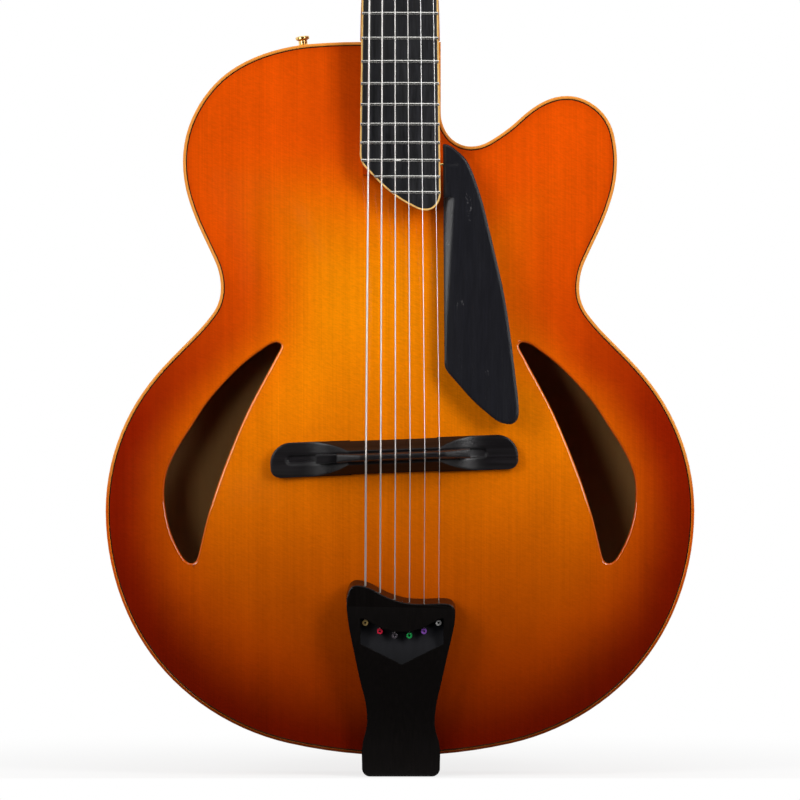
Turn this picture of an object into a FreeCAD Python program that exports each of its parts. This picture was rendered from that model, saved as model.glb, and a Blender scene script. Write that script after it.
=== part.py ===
"""Archtop guitar with a rounded cutaway, built upright.

+Z runs up the neck, the soundboard faces -Y and the cutaway is on the +X side.
The origin is on the centre line at the nut, and the edge of the top lies in the plane Y = 0.
"""
import FreeCAD, Part
import Sketcher
import math
import os
from types import SimpleNamespace

V = FreeCAD.Vector
X_AXIS = V(1, 0, 0)
Y_AXIS = V(0, 1, 0)
Z_AXIS = V(0, 0, 1)
HERE = FreeCAD.Placement()

# Driving sizes in millimetres and degrees
SIZES = [
    ("scale_length", 647.7, "nut to saddle"),
    ("neck_pitch", 3.3, "slope of the fingerboard to the body"),
    ("nut_level", -1.5, "fingerboard surface at the nut"),
    ("bridge_from_tail", 207.7, "saddle above the tail edge"),
    ("lower_bout_width", 407.6, "widest part of the body"),
    ("lower_bout_height", 169.3, "widest place above the tail edge"),
    ("waist_width", 248.0, "narrowest part"),
    ("waist_height", 154.2, "waist above the widest place"),
    ("upper_bout_width", 300.6, "upper bout"),
    ("upper_bout_height", 87.8, "upper bout above the waist"),
    ("horn_offset", 34.7, "horn tip inside the upper bout's side"),
    ("horn_height", 45.4, "horn tip above the upper bout"),
    ("cutaway_offset", 21.0, "cutaway bottom from the neck's side"),
    ("cutaway_height", 10.4, "cutaway bottom above the upper bout"),
    ("neck_side", 28.2, "treble rim beside the neck"),
    ("neck_side_height", 23.3, "where the cutaway meets it, above the cutaway's bottom"),
    ("shoulder_height", 82.8, "neck shoulder above the upper bout"),
    ("shoulder_half", 27.7, "flat of the bass shoulder"),
    ("rim_depth", 72.0, "front to back edge"),
    ("rim_thickness", 2.6, "bent side"),
    ("plate_edge", 5.0, "plate thickness at the rim"),
    ("plate_recurve", 4.2, "plate thickness inside the rim"),
    ("plate_centre", 6.0, "plate thickness at the crown"),
    ("top_arch", 18.0, "crown of the top"),
    ("back_arch", 16.0, "crown of the back"),
    ("edge_flat", 3.0, "flat margin of the arching"),
    ("binding_width", 2.0, "body binding"),
    ("purfling_width", 0.8, "black line"),
    ("purfling_depth", 1.5, "black line"),
    ("lining_width", 6.0, "glue strip in the corner"),
    ("lining_height", 14.0, "glue strip in the corner"),
    ("lining_shelf", 1.0, "plate left flat beyond the glue strip"),
    ("block_shelf", 2.0, "plate left flat beyond a block"),
    ("neck_block_length", 50.0, "along the body"),
    ("neck_block_bass", 34.0, "reach to the bass side"),
    ("tail_block_width", 84.0, "across"),
    ("tail_block_length", 22.0, "along the body"),
    ("tone_bar_width", 7.0, "spruce bar"),
    ("tone_bar_height", 12.0, "spruce bar"),
    ("tone_bar_length", 250.0, "spruce bar"),
    ("tone_bar_spread", 30.0, "from the centre line"),
    ("tone_bar_lift", 30.0, "its middle above the saddle"),
    ("tone_bar_angle", 3.0, "lean towards the neck"),
    ("tenon_width", 20.0, "neck tenon"),
    ("tenon_length", 18.0, "neck tenon"),
    ("tenon_depth", 50.0, "neck tenon"),
    ("neck_depth_nut", 13.5, "shaft below the fingerboard"),
    ("neck_depth_heel", 17.5, "shaft below the fingerboard"),
    ("neck_inset", 0.4, "shaft edge inside the fingerboard"),
    ("heel_drop", 98.0, "heel below the shaft"),
    ("heel_reach", 28.0, "heel above the body's shoulder"),
    ("heel_curve", 13.0, "length of the heel's sweep"),
    ("heel_flare", 1.2, "heel wider than the shaft, each side"),
    ("heel_cap_thickness", 3.0, "ebony cap"),
    ("riser_inset", 1.0, "neck wood over the top, inside the fingerboard's edge"),
    ("riser_margin", 25.5, "neck wood over the top ends before the fingerboard's tip"),
    ("riser_overlap", 5.0, "neck wood over the top runs into the shaft"),
    ("nut_width", 44.5, "at the nut"),
    ("nut_thickness", 5.0, "bone nut"),
    ("fingerboard_end_width", 56.0, "at the last fret"),
    ("fingerboard_tip", 12.4, "tip beyond the last fret"),
    ("fingerboard_slant", 39.0, "bass corner above the tip"),
    ("fingerboard_corner", 12.0, "treble corner above the tip"),
    ("fingerboard_thickness", 6.0, "at the centre"),
    ("fingerboard_radius", 305.0, "cross curve"),
    ("fingerboard_binding", 1.1, "pale strip"),
    ("fret_width", 2.2, "crown"),
    ("fret_height", 1.05, "crown"),
    ("headstock_angle", 13.0, "lean back"),
    ("headstock_length", 182.0, "nut to top"),
    ("headstock_width", 82.0, "at the top"),
    ("headstock_thickness", 13.5, "without the veneer"),
    ("veneer_thickness", 2.0, "headstock face"),
    ("truss_rod_radius", 2.6, "steel rod"),
    ("truss_rod_depth", 7.0, "below the fingerboard"),
    ("truss_rod_margin", 31.0, "rod ends above the body's shoulder"),
    ("truss_pocket_width", 11.0, "opening under the cover"),
    ("truss_pocket_length", 24.0, "opening under the cover"),
    ("truss_cover_width", 20.0, "cover plate"),
    ("truss_cover_length", 38.0, "cover plate"),
    ("truss_cover_thickness", 2.0, "cover plate"),
    ("string_spread_bridge", 50.5, "outer strings at the saddle"),
    ("string_spread_nut", 37.0, "outer strings at the nut"),
    ("string_spread_tail", 50.5, "outer strings at the tailpiece"),
    ("string_centre", 1.9, "string set from the centre line at the saddle"),
    ("saddle_height", 44.6, "strings above the rim plane"),
    ("nut_clearance", 1.5, "string above the fingerboard at the nut"),
    ("string_bend", 8.0, "radius over saddle and nut"),
    ("string_seat", 0.06, "groove wider than the string"),
    ("string_hole_gap", 0.2, "string clear of its hole in the tailpiece"),
    ("gauge_6", 1.32, "string diameter"),
    ("gauge_5", 1.07, "string diameter"),
    ("gauge_4", 0.81, "string diameter"),
    ("gauge_3", 0.61, "string diameter"),
    ("gauge_2", 0.43, "string diameter"),
    ("gauge_1", 0.33, "string diameter"),
    ("ball_radius", 2.0, "ring at the string's end"),
    ("ball_hole", 0.8, "radius of the ring's hole"),
    ("ball_width", 3.2, "ring from front to back"),
    ("ball_sink", 0.6, "string end let into the ring"),
    ("ball_level", 29.5, "string ends above the rim plane"),
    ("ball_height", 83.9, "lowest string end above the tail"),
    ("ball_arc", 1.467, "how fast the row of string ends curves up"),
    ("bridge_length", 171.0, "base"),
    ("bridge_width", 24.0, "base"),
    ("bridge_corner_high", 14.5, "corner radius towards the neck"),
    ("bridge_corner_low", 6.5, "corner radius towards the tail"),
    ("bridge_offset", -4.1, "base centre from the centre line"),
    ("bridge_tilt", 2.2, "slant of base and saddle"),
    ("bridge_wing", 5.5, "thickness at the tips"),
    ("bridge_ridge_level", 36.0, "ridge above the rim plane"),
    ("bridge_ridge_width", 9.8, "across the ridge"),
    ("bridge_ridge_half", 32.0, "half length of the ridge"),
    ("bridge_scoop_start", 66.0, "where the wings start to rise"),
    ("bridge_relief", 4.5, "arch under the middle"),
    ("bridge_relief_half", 30.0, "arch under the middle"),
    ("slot_width", 6.4, "groove along the base"),
    ("slot_bass", 74.0, "groove end from the base centre"),
    ("slot_treble", 64.0, "groove end from the base centre"),
    ("slot_groove", 1.4, "groove depth in the wings"),
    ("slot_floor_level", 25.5, "floor above the rim plane"),
    ("slide_gap", 0.08, "running gap in the groove"),
    ("wedge_bass", 54.0, "wedge end from the base centre"),
    ("wedge_treble", 46.0, "wedge end from the base centre"),
    ("wedge_tip", 2.0, "thin end"),
    ("wedge_slope", 0.0625, "rise per length"),
    ("saddle_bass", 39.5, "saddle end from the base centre"),
    ("saddle_treble", 52.5, "saddle end from the base centre"),
    ("saddle_crest", 2.6, "thickness at the strings"),
    ("tail_top_width", 75.0, "tailpiece at the strings"),
    ("tail_waist_width", 46.7, "tailpiece waist"),
    ("tail_foot_width", 53.8, "tailpiece foot"),
    ("tail_foot_reach", 14.1, "foot beyond the tail edge"),
    ("tail_foot_depth", 24.0, "foot down the rim"),
    ("tail_foot_corner", 6.0, "rounding of the foot"),
    ("tail_foot_inset", 8.0, "foot's inner face above the tail edge"),
    ("tail_level", 36.5, "string end above the rim plane"),
    ("tail_thickness", 12.5, "at the string end"),
    ("tail_slant", 3.6, "upper end set back in front"),
    ("tail_seat", 0.2, "gap round the tail edge"),
    ("tail_rim_gap", 1.2, "underside in front of the tail edge"),
    ("recess_depth", 8.7, "shield recess at its lower point"),
    ("recess_slope", 0.13, "how its floor deepens upwards"),
    ("recess_side", 3.3, "outside the outer strings"),
    ("recess_gap", 0.5, "above the string ends"),
    ("screw_radius", 1.8, "tailpiece screw"),
    ("screw_head_radius", 3.6, "tailpiece screw"),
    ("screw_length", 30.0, "tailpiece screw"),
    ("screw_spacing", 28.0, "two screws"),
    ("screw_level", 13.0, "behind the rim plane"),
    ("guard_thickness", 4.0, "pickguard"),
    ("guard_drop", 5.0, "below the fingerboard surface"),
    ("guard_bevel", 3.5, "facet beside the strings, at its upper end"),
    ("guard_bevel_end", 0.5, "the same at its lower end"),
    ("guard_post_radius", 4.0, "support"),
    ("guard_post_offset", 58.0, "support from the centre line"),
    ("guard_post_height", 318.0, "support above the tail"),
    ("guard_pin_radius", 0.9, "support"),
    ("guard_pin_length", 20.0, "support"),
    ("guard_pin_sink", 9.0, "support inside the fingerboard's edge"),
    ("guard_pin_margin", 6.8, "support above the end of the neck wood"),
    ("button_radius", 4.85, "strap button"),
    ("button_waist", 3.1, "strap button"),
    ("button_length", 7.5, "strap button"),
    ("button_offset", 67.2, "from the centre line"),
    ("button_screw_radius", 1.5, "strap button"),
    ("button_screw_length", 10.0, "strap button"),
    ("end_pin_radius", 6.0, "tail pin"),
    ("end_pin_waist", 3.8, "tail pin"),
    ("end_pin_length", 11.5, "tail pin"),
    ("end_pin_level", 46.0, "behind the rim plane"),
    ("end_pin_shank", 2.6, "tail pin"),
    ("end_pin_shank_length", 18.0, "tail pin"),
    ("post_first", 46.0, "first tuner above the nut"),
    ("post_step", 41.0, "tuner to tuner"),
    ("post_offset_first", 26.5, "from the centre line"),
    ("post_offset_step", 1.6, "further out per tuner"),
    ("post_radius", 3.0, "string post"),
    ("post_height", 16.0, "above the veneer"),
    ("post_gap", 0.1, "running gap"),
    ("wrap_gap", 0.5, "string clear of the post"),
    ("wrap_step", 0.5, "space between turns"),
    ("bushing_radius", 4.6, "sleeve in the headstock"),
    ("bushing_flange", 7.0, "collar"),
    ("bushing_flange_height", 2.2, "collar"),
    ("bushing_length", 11.0, "sleeve"),
    ("gear_radius", 5.6, "worm wheel"),
    ("gear_thickness", 4.6, "worm wheel"),
    ("gear_gap", 0.9, "inside the housing"),
    ("gear_tooth_depth", 1.1, "worm wheel"),
    ("worm_radius", 2.6, "worm"),
    ("worm_length", 10.0, "worm"),
    ("worm_shaft_radius", 1.8, "shaft to the button"),
    ("worm_mesh_gap", 0.15, "worm to wheel"),
    ("housing_wall", 1.6, "gear housing"),
    ("housing_half", 8.4, "gear housing"),
    ("button_reach", 30.0, "post to the middle of the tuner button"),
    ("tuner_button_width", 8.4, "half size"),
    ("tuner_button_height", 10.5, "half size"),
    ("tuner_button_thickness", 4.0, "half size"),
    ("tuner_button_bore", 6.0, "shaft inside the button"),
]

FRET_COUNT = 22
STRING_COUNT = 6
WOUND_COUNT = 4
GEAR_TEETH = 15
WINDING_TURNS = 3
HEEL_SECTIONS = 30
TAPER_SECTIONS = 6
NECK_POINTS = 11
FAR = 100.0

doc = FreeCAD.newDocument("archtop_guitar")
PARTS = []


class Size(float):
    """A number of the sheet that keeps the expression it comes from."""

    def __new__(cls, value, text):
        made = float.__new__(cls, value)
        made.text = text
        return made

    def __add__(self, other):
        return Size(float(self) + float(other), "(%s + %s)" % (self.text, expression(other)))

    def __sub__(self, other):
        return Size(float(self) - float(other), "(%s - %s)" % (self.text, expression(other)))

    def __mul__(self, other):
        return Size(float(self) * float(other), "(%s * %s)" % (self.text, expression(other)))

    def __truediv__(self, other):
        return Size(float(self) / float(other), "(%s / %s)" % (self.text, expression(other)))

    def __neg__(self):
        return Size(-float(self), "(0 - %s)" % self.text)

    def __radd__(self, other):
        return Size(float(other) + float(self), "(%s + %s)" % (expression(other), self.text))

    def __rsub__(self, other):
        return Size(float(other) - float(self), "(%s - %s)" % (expression(other), self.text))

    def __rmul__(self, other):
        return self * other


def expression(number):
    return getattr(number, "text", repr(float(number)))


def make_sheet():
    """Write the driving sizes into the sheet and read them back."""
    sheet = doc.addObject("Spreadsheet::Sheet", "sizes")
    for row, (alias, value, note) in enumerate(SIZES, start=1):
        sheet.set("A%d" % row, note)
        sheet.set("B%d" % row, str(value))
        sheet.setAlias("B%d" % row, alias)
    doc.recompute()
    return SimpleNamespace(**{alias: Size(sheet.get(alias), "sizes." + alias) for alias, _, _ in SIZES})


D = make_sheet()

# Frames of the neck and the headstock, and heights along the body
PITCH = math.radians(D.neck_pitch)
NECK = FreeCAD.Placement(V(0, D.nut_level, 0), FreeCAD.Rotation(X_AXIS, -D.neck_pitch))
HEAD = NECK.multiply(FreeCAD.Placement(V(0, D.fingerboard_thickness, D.nut_thickness),
                                       FreeCAD.Rotation(X_AXIS, -D.headstock_angle)))
WAIST_HEIGHT = D.lower_bout_height + D.waist_height
UPPER_HEIGHT = WAIST_HEIGHT + D.upper_bout_height
BODY_LENGTH = UPPER_HEIGHT + D.shoulder_height
TAIL_Z = -D.scale_length * math.cos(PITCH) - D.bridge_from_tail
SHOULDER_Z = TAIL_Z + BODY_LENGTH
NECK_JOINT = -SHOULDER_Z / math.cos(PITCH)
LAST_FRET = D.scale_length * (1 - 2 ** (-FRET_COUNT / 12))
BOARD_LENGTH = LAST_FRET + D.fingerboard_tip
RISER_END = BOARD_LENGTH - D.riser_margin


def at(x, height, y=0.0):
    """A point of the body, from the centre line and the tail edge."""
    return V(x, y, height + TAIL_Z)


def along_neck(height):
    """The distance down the fingerboard of a height above the tail edge."""
    return (height + TAIL_Z) / math.cos(PITCH)


def moved(shape, placement):
    made = shape.copy()
    made.Placement = placement.multiply(made.Placement)
    return made


def add_shape(label, shape, placement=HERE):
    feature = doc.addObject("Part::Feature", label)
    feature.Shape = shape
    feature.Placement = placement
    PARTS.append(feature)
    return feature


# Curves
def arc_from(start, tangent, end):
    """The arc that leaves start along tangent and ends at end, or a line."""
    chord = end.sub(start)
    turn = tangent.getAngle(chord)
    if turn < 1e-6:
        return Part.LineSegment(start, end).toShape()
    middle = start.add(end).multiply(0.5)
    side = start.add(V(tangent).multiply(chord.Length / 2 / math.cos(turn))).sub(middle)
    sagitta = chord.Length / 2 * math.tan(turn / 2)
    return Part.Arc(start, middle.add(side.normalize().multiply(sagitta)), end).toShape()


def biarc(p0, t0, p1, t1):
    """Two arcs that join p0 and p1 with the tangents t0 and t1."""
    t0 = V(t0).normalize()
    t1 = V(t1).normalize()
    chord = p1.sub(p0)
    total = chord.dot(t0.add(t1))
    bend = 2 * (1 - t0.dot(t1))
    if bend < 1e-9:
        reach = chord.dot(chord) / (4 * chord.dot(t1))
    else:
        reach = (-total + math.sqrt(total * total + bend * chord.dot(chord))) / bend
    joint = p0.add(p1).add(t0.sub(t1).multiply(reach)).multiply(0.5)
    heading = p1.sub(p0).sub(t0.add(t1).multiply(reach)).normalize()
    return [arc_from(p0, t0, joint), arc_from(joint, heading, p1)]


def chain(stations):
    """Arcs through (point, tangent) stations."""
    edges = []
    for (p0, t0), (p1, t1) in zip(stations, stations[1:]):
        edges += biarc(p0, t0, p1, t1)
    return edges


def closed(edges):
    return Part.Wire(Part.__sortEdges__(edges))


def polyline(points):
    return [Part.LineSegment(p, q).toShape() for p, q in zip(points, points[1:])]


def polygon(points):
    return polyline(points + points[:1])


def plate_face(edges):
    return Part.Face(closed(edges))


def mirrored(stations):
    """The same stations across the centre line, run through backwards."""
    return [(V(-p.x, p.y, p.z), V(t.x, -t.y, -t.z)) for p, t in reversed(stations)]


def crossing(p0, p1, q0, q1):
    """Where the lines p0 p1 and q0 q1 meet in the XZ plane."""
    along = p1.sub(p0)
    other = q1.sub(q0)
    gap = q0.sub(p0)
    share = (gap.x * other.z - gap.z * other.x) / (along.x * other.z - along.z * other.x)
    return p0.add(along.multiply(share))


def inset(loop, distance):
    """A loop of arcs and lines that runs anticlockwise, moved inwards by distance."""
    rows = []
    for edge in loop:
        row = []
        for share in (0.0, 0.5, 1.0):
            spot = edge.FirstParameter + share * (edge.LastParameter - edge.FirstParameter)
            heading = edge.tangentAt(spot)
            row.append(edge.valueAt(spot).add(V(-heading.z, 0, heading.x).multiply(distance)))
        rows.append(row)
    for before, after in zip(rows, rows[1:] + rows[:1]):
        if before[2].distanceToPoint(after[0]) > 1e-6:
            after[0] = crossing(before[0], before[2], after[0], after[2])
        before[2] = after[0]
    edges = []
    for edge, row in zip(loop, rows):
        straight = edge.Curve.TypeId == "Part::GeomLine"
        edges.append(Part.LineSegment(row[0], row[2]).toShape() if straight else Part.Arc(*row).toShape())
    return edges


def y_prism(loop, front, back):
    face = Part.Face(Part.Wire(loop))
    face.translate(V(0, front, 0))
    return face.extrude(V(0, back - front, 0))


def ring(outer, inner, front, back):
    return y_prism(outer, front, back).cut(y_prism(inner, front, back))


def block(x0, x1, y0, y1, z0, z1):
    return Part.makeBox(x1 - x0, y1 - y0, z1 - z0, V(x0, y0, z0))


def tube(edges, radius):
    """A round tube along lines and arcs that follow each other tangentially."""
    start = edges[0].valueAt(edges[0].FirstParameter)
    heading = edges[0].tangentAt(edges[0].FirstParameter)
    disc = Part.Face(Part.Wire(Part.makeCircle(radius, start, heading)))
    faces = [disc]
    length = 0
    for edge in edges:
        length += edge.Length
        if edge.Curve.TypeId == "Part::GeomLine":
            run = edge.tangentAt(edge.FirstParameter).multiply(edge.Length)
            piece = disc.extrude(run)
            disc = disc.translated(run)
        else:
            bend = edge.Curve
            turn = math.degrees(edge.Length / bend.Radius)
            piece = disc.revolve(bend.Center, bend.Axis, turn)
            disc = disc.rotated(bend.Center, bend.Axis, turn)
        faces += [face for face in piece.Faces if face.Surface.TypeId != "Part::GeomPlane"]
    shell = Part.makeShell(faces + [disc])
    shell.sewShape()
    solid = Part.makeSolid(shell)
    expected = math.pi * radius ** 2 * length
    if abs(abs(solid.Volume) - expected) > 0.01 * expected:
        raise RuntimeError("a tube is not closed")
    return solid if solid.Volume > 0 else solid.reversed()


def rounded_path(points, radius):
    """Straight runs with an arc at each inner point."""
    edges = []
    start = points[0]
    for before, corner, after in zip(points, points[1:], points[2:]):
        arriving = corner.sub(before).normalize()
        leaving = after.sub(corner).normalize()
        cut = radius * math.tan(arriving.getAngle(leaving) / 2)
        first = corner.sub(V(arriving).multiply(cut))
        last = corner.add(V(leaving).multiply(cut))
        edges.append(Part.LineSegment(start, first).toShape())
        edges.append(arc_from(first, arriving, last))
        start = last
    edges.append(Part.LineSegment(start, points[-1]).toShape())
    return edges


# Body outline
TAIL_END = (0.0, 0.0)
LOWER_SIDE = (D.lower_bout_width / 2, D.lower_bout_height)
WAIST_SIDE = (D.waist_width / 2, WAIST_HEIGHT)
UPPER_SIDE = (D.upper_bout_width / 2, UPPER_HEIGHT)
HORN_TIP = (D.upper_bout_width / 2 - D.horn_offset, UPPER_HEIGHT + D.horn_height)
CUTAWAY_LOW = (D.neck_side + D.cutaway_offset, UPPER_HEIGHT + D.cutaway_height)
NECK_CORNER = (D.neck_side, CUTAWAY_LOW[1] + D.neck_side_height)
SHOULDER_END = (D.shoulder_half, BODY_LENGTH)


def boxed(start, end, rows):
    """Stations and headings given as shares of the box from start to end."""
    wide = end[0] - start[0]
    tall = end[1] - start[1]
    return [(start[0] + x * wide, start[1] + z * tall, dx * wide, dz * tall) for x, z, dx, dz in rows]


def half_stations():
    """Tail to upper bout, the same on both sides: distance out, height, and heading."""
    tail = boxed(TAIL_END, LOWER_SIDE, [(0, 0, 1, 0), (0.71, 0.2434, 0.147, 0.142), (1, 1, 0, 1)])
    flank = [(0.376, 0.571, 0.232, 0.156), (0.762, 0.786, 0.301, 0.156), (1, 1, 0, 1)]
    upper = [(0.487, 0.427, 0.437, 0.273), (1, 1, 0, 1)]
    return tail + boxed(LOWER_SIDE, WAIST_SIDE, flank) + boxed(WAIST_SIDE, UPPER_SIDE, upper)


def treble_stations():
    horn = boxed(UPPER_SIDE, HORN_TIP, [(0.34, 0.786, 0.749, 0.551), (1, 1, 1, 0)])
    cutaway = [(0.322, 0.197, 0.482, 0.6), (0.657, 0.711, 0.482, 0.657), (1, 1, 1, 0)]
    neck_side = boxed(CUTAWAY_LOW, NECK_CORNER, [(1, 1, 0, 1)])
    return half_stations() + horn + boxed(HORN_TIP, CUTAWAY_LOW, cutaway) + neck_side


def bass_stations():
    shoulder = [(0.181, 0.6486, 0.188, 0.29), (0.457, 0.9, 0.261, 0.133), (1, 1, 1, 0)]
    return half_stations() + boxed(UPPER_SIDE, SHOULDER_END, shoulder)


def body_outline():
    treble = [(at(x, z), V(dx, 0, dz)) for x, z, dx, dz in treble_stations()]
    bass = mirrored([(at(x, z), V(dx, 0, dz)) for x, z, dx, dz in bass_stations()])
    shoulder = polyline([treble[-1][0], at(D.neck_side, BODY_LENGTH), bass[0][0]])
    return chain(treble) + shoulder + chain(bass)


OUTLINE = body_outline()

# Arching: the height grows smoothly with the distance from the edge
EDGE_SAMPLES = 600
GRID_STEP = 12.0
OUTLINE_WIRE = Part.Wire(OUTLINE)
EDGE_POINTS = OUTLINE_WIRE.discretize(Number=EDGE_SAMPLES)
EDGE_STEP = OUTLINE_WIRE.Length / EDGE_SAMPLES


def inside_outline(x, z):
    crossing = False
    for p, q in zip(EDGE_POINTS, EDGE_POINTS[1:] + EDGE_POINTS[:1]):
        if (p.z > z) != (q.z > z) and x < p.x + (z - p.z) * (q.x - p.x) / (q.z - p.z):
            crossing = not crossing
    return crossing


def edge_distance(x, z):
    """Zero outside the body, and close to the distance from its edge inside."""
    if not inside_outline(x, z):
        return 0.0
    total = 0.0
    for p in EDGE_POINTS:
        total += 1 / ((p.x - x) ** 2 + (p.z - z) ** 2) ** 2
    return (total * EDGE_STEP / (math.pi / 2)) ** (-1 / 3)


def grid_values(low, high):
    count = int((high - low) / GRID_STEP) + 2
    return [low + (high - low) * i / (count - 1) for i in range(count)]


GRID_X = grid_values(OUTLINE_WIRE.BoundBox.XMin - GRID_STEP, OUTLINE_WIRE.BoundBox.XMax + GRID_STEP)
GRID_Z = grid_values(OUTLINE_WIRE.BoundBox.ZMin - GRID_STEP, OUTLINE_WIRE.BoundBox.ZMax + GRID_STEP)
DISTANCES = [[edge_distance(x, z) for z in GRID_Z] for x in GRID_X]
DEEPEST = max(max(row) for row in DISTANCES)


def arch_share(distance):
    """From 0 at the edge to 1 at the crown, with a hollow near the edge."""
    share = max(0.0, distance - D.edge_flat) / (DEEPEST - D.edge_flat)
    return share * share * (3 - 2 * share)


def arch_face(base, height):
    """A sheet at Y = base that swells by height at the crown."""
    rows = []
    for x, row in zip(GRID_X, DISTANCES):
        rows.append([V(x, base + height * arch_share(d), z) for z, d in zip(GRID_Z, row)])
    sheet = Part.BSplineSurface()
    sheet.interpolate(rows)
    return sheet.toShape()


def arch_level(x, height):
    """Front surface of the top at a place on the body."""
    return -D.top_arch * arch_share(edge_distance(x, height + TAIL_Z))


TOP_SHEET = arch_face(0.0, -D.top_arch)
BACK_Y = D.rim_depth
HOLLOWED = D.plate_centre - D.plate_recurve
TOP_INSIDE = arch_face(D.plate_recurve, HOLLOWED - D.top_arch)
BACK_SHEET = arch_face(BACK_Y, D.back_arch)
BACK_INSIDE = arch_face(BACK_Y - D.plate_recurve, D.back_arch - HOLLOWED)
RIM_FRONT = D.plate_edge
RIM_BACK = BACK_Y - D.plate_edge
RIM_INSIDE = inset(OUTLINE, D.rim_thickness)
LINING_INSIDE = inset(OUTLINE, D.rim_thickness + D.lining_width)


def behind_top(gap=0.0):
    """Everything behind the front surface of the top, grown forward by gap."""
    sheet = TOP_SHEET.copy()
    sheet.translate(V(0, -gap, 0))
    return sheet.extrude(V(0, 2 * FAR, 0))


# Blocks inside the body
def neck_block_box(margin=0.0):
    low = SHOULDER_Z - D.rim_thickness - D.neck_block_length
    return block(-D.neck_block_bass - margin, D.neck_side, RIM_FRONT, RIM_BACK, low - margin, SHOULDER_Z)


def tail_block_box(margin=0.0):
    half = D.tail_block_width / 2 + margin
    return block(-half, half, RIM_FRONT, RIM_BACK, TAIL_Z, TAIL_Z + D.tail_block_length + margin)


def tenon_box():
    half = D.tenon_width / 2
    low = SHOULDER_Z - D.tenon_length
    return block(-half, half, RIM_FRONT, RIM_FRONT + D.tenon_depth, low, SHOULDER_Z)


def tail_screw_axis(sign):
    return V(sign * D.screw_spacing / 2, D.screw_level, TAIL_Z - D.tail_foot_reach)


def tail_screw(sign):
    """A wood screw with a coned head, sunk into the foot of the tailpiece."""
    base = tail_screw_axis(sign)
    depth = D.screw_head_radius - D.screw_radius
    head = Part.makeCone(D.screw_head_radius, D.screw_radius, depth, base, Z_AXIS)
    return head.fuse(Part.makeCylinder(D.screw_radius, D.screw_length, base, Z_AXIS)).removeSplitter()


def end_pin_hole():
    return Part.makeCylinder(D.end_pin_shank, D.end_pin_shank_length, V(0, D.end_pin_level, TAIL_Z), Z_AXIS)


# Soundholes
def soundhole(side):
    """A wing: pointed towards the waist, round and full towards the tail."""
    shares = [
        (0.4019, 0.8748, 0.746, -0.88), (0.5451, 0.698, 0.619, -0.92), (0.6472, 0.524, 0.46, -0.96),
        (0.685, 0.4281, 0.381, -0.97), (0.7076, 0.4111, 1.587, 0.05), (0.736, 0.4229, 0.873, 0.84),
        (0.8008, 0.5657, 0, 1), (0.737, 0.6767, -0.873, 0.83), (0.6241, 0.7796, -1.048, 0.75),
        (0.4779, 0.8649, -1.317, 0.56), (0.4181, 0.8847, -1.587, 0.1), (0.4019, 0.8748, 0.746, -0.88),
    ]
    stations = boxed(TAIL_END, (LOWER_SIDE[0], WAIST_HEIGHT), shares)
    return chain([(at(side * x, z), V(side * dx, 0, dz)) for x, z, dx, dz in stations])


# Body pieces
def make_plates():
    """Carved top and back, hollowed inside but left flat over the blocks."""
    seat = inset(OUTLINE, D.binding_width)
    hollow = inset(LINING_INSIDE, D.lining_shelf)
    pads = [moved(neck_block_box(D.block_shelf), FreeCAD.Placement(V(0, shift, 0), FreeCAD.Rotation()))
            for shift in (-D.rim_depth, 0, D.rim_depth)]
    pads += [moved(tail_block_box(D.block_shelf), FreeCAD.Placement(V(0, shift, 0), FreeCAD.Rotation()))
             for shift in (-D.rim_depth, 0, D.rim_depth)]
    line = ring(seat, inset(seat, D.purfling_width), -FAR / 4, D.purfling_depth)

    top = y_prism(seat, -FAR / 2, RIM_FRONT).common(behind_top())
    carving = y_prism(hollow, -FAR / 2, RIM_FRONT + 1).common(TOP_INSIDE.extrude(V(0, FAR, 0))).cut(pads)
    top = top.cut(carving).cut(line)
    for side in (-1, 1):
        top = top.cut(y_prism(soundhole(side), -FAR / 2, FAR / 2))
    add_shape("top_plate", top)
    add_shape("top_purfling", line.common(behind_top()))

    back = y_prism(seat, RIM_BACK, BACK_Y + FAR / 2).common(BACK_SHEET.extrude(V(0, -FAR, 0)))
    carving = y_prism(hollow, RIM_BACK - 1, BACK_Y + FAR / 2)
    carving = carving.common(BACK_INSIDE.extrude(V(0, -FAR, 0))).cut(pads)
    add_shape("back_plate", back.cut(carving))
    add_shape("top_binding", ring(OUTLINE, seat, 0, RIM_FRONT))
    add_shape("back_binding", ring(OUTLINE, seat, RIM_BACK, BACK_Y))


def make_rims():
    """Two bent sides that butt at the tail and stop at the neck tenon."""
    sides = ring(OUTLINE, RIM_INSIDE, RIM_FRONT, RIM_BACK)
    sides = sides.cut(tenon_box()).cut(end_pin_hole()).cut(strap_button_hole())
    for sign in (-1, 1):
        sides = sides.cut(tail_screw(sign))
    low = TAIL_Z - FAR
    bass = sides.common(block(-3 * FAR, 0, -FAR, 2 * FAR, low, FAR))
    treble = sides.common(block(0, 3 * FAR, -FAR, 2 * FAR, low, FAR))
    add_shape("bass_rim", bass)
    add_shape("treble_rim", treble)


def make_blocks():
    room = y_prism(RIM_INSIDE, RIM_FRONT, RIM_BACK)
    add_shape("neck_block", neck_block_box().common(room).cut(tenon_box()))
    tail = tail_block_box().common(room).cut(end_pin_hole())
    for sign in (-1, 1):
        tail = tail.cut(tail_screw(sign))
    add_shape("tail_block", tail)


def make_linings():
    """Glue strips in the corners between the rims and the plates, broken at the blocks."""
    strip = ring(RIM_INSIDE, LINING_INSIDE, RIM_FRONT, RIM_FRONT + D.lining_height)
    strip = strip.cut(neck_block_box()).cut(tail_block_box())
    add_shape("top_linings", strip)
    strip = ring(RIM_INSIDE, LINING_INSIDE, RIM_BACK - D.lining_height, RIM_BACK)
    strip = strip.cut(neck_block_box()).cut(tail_block_box())
    add_shape("back_linings", strip)


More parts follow.
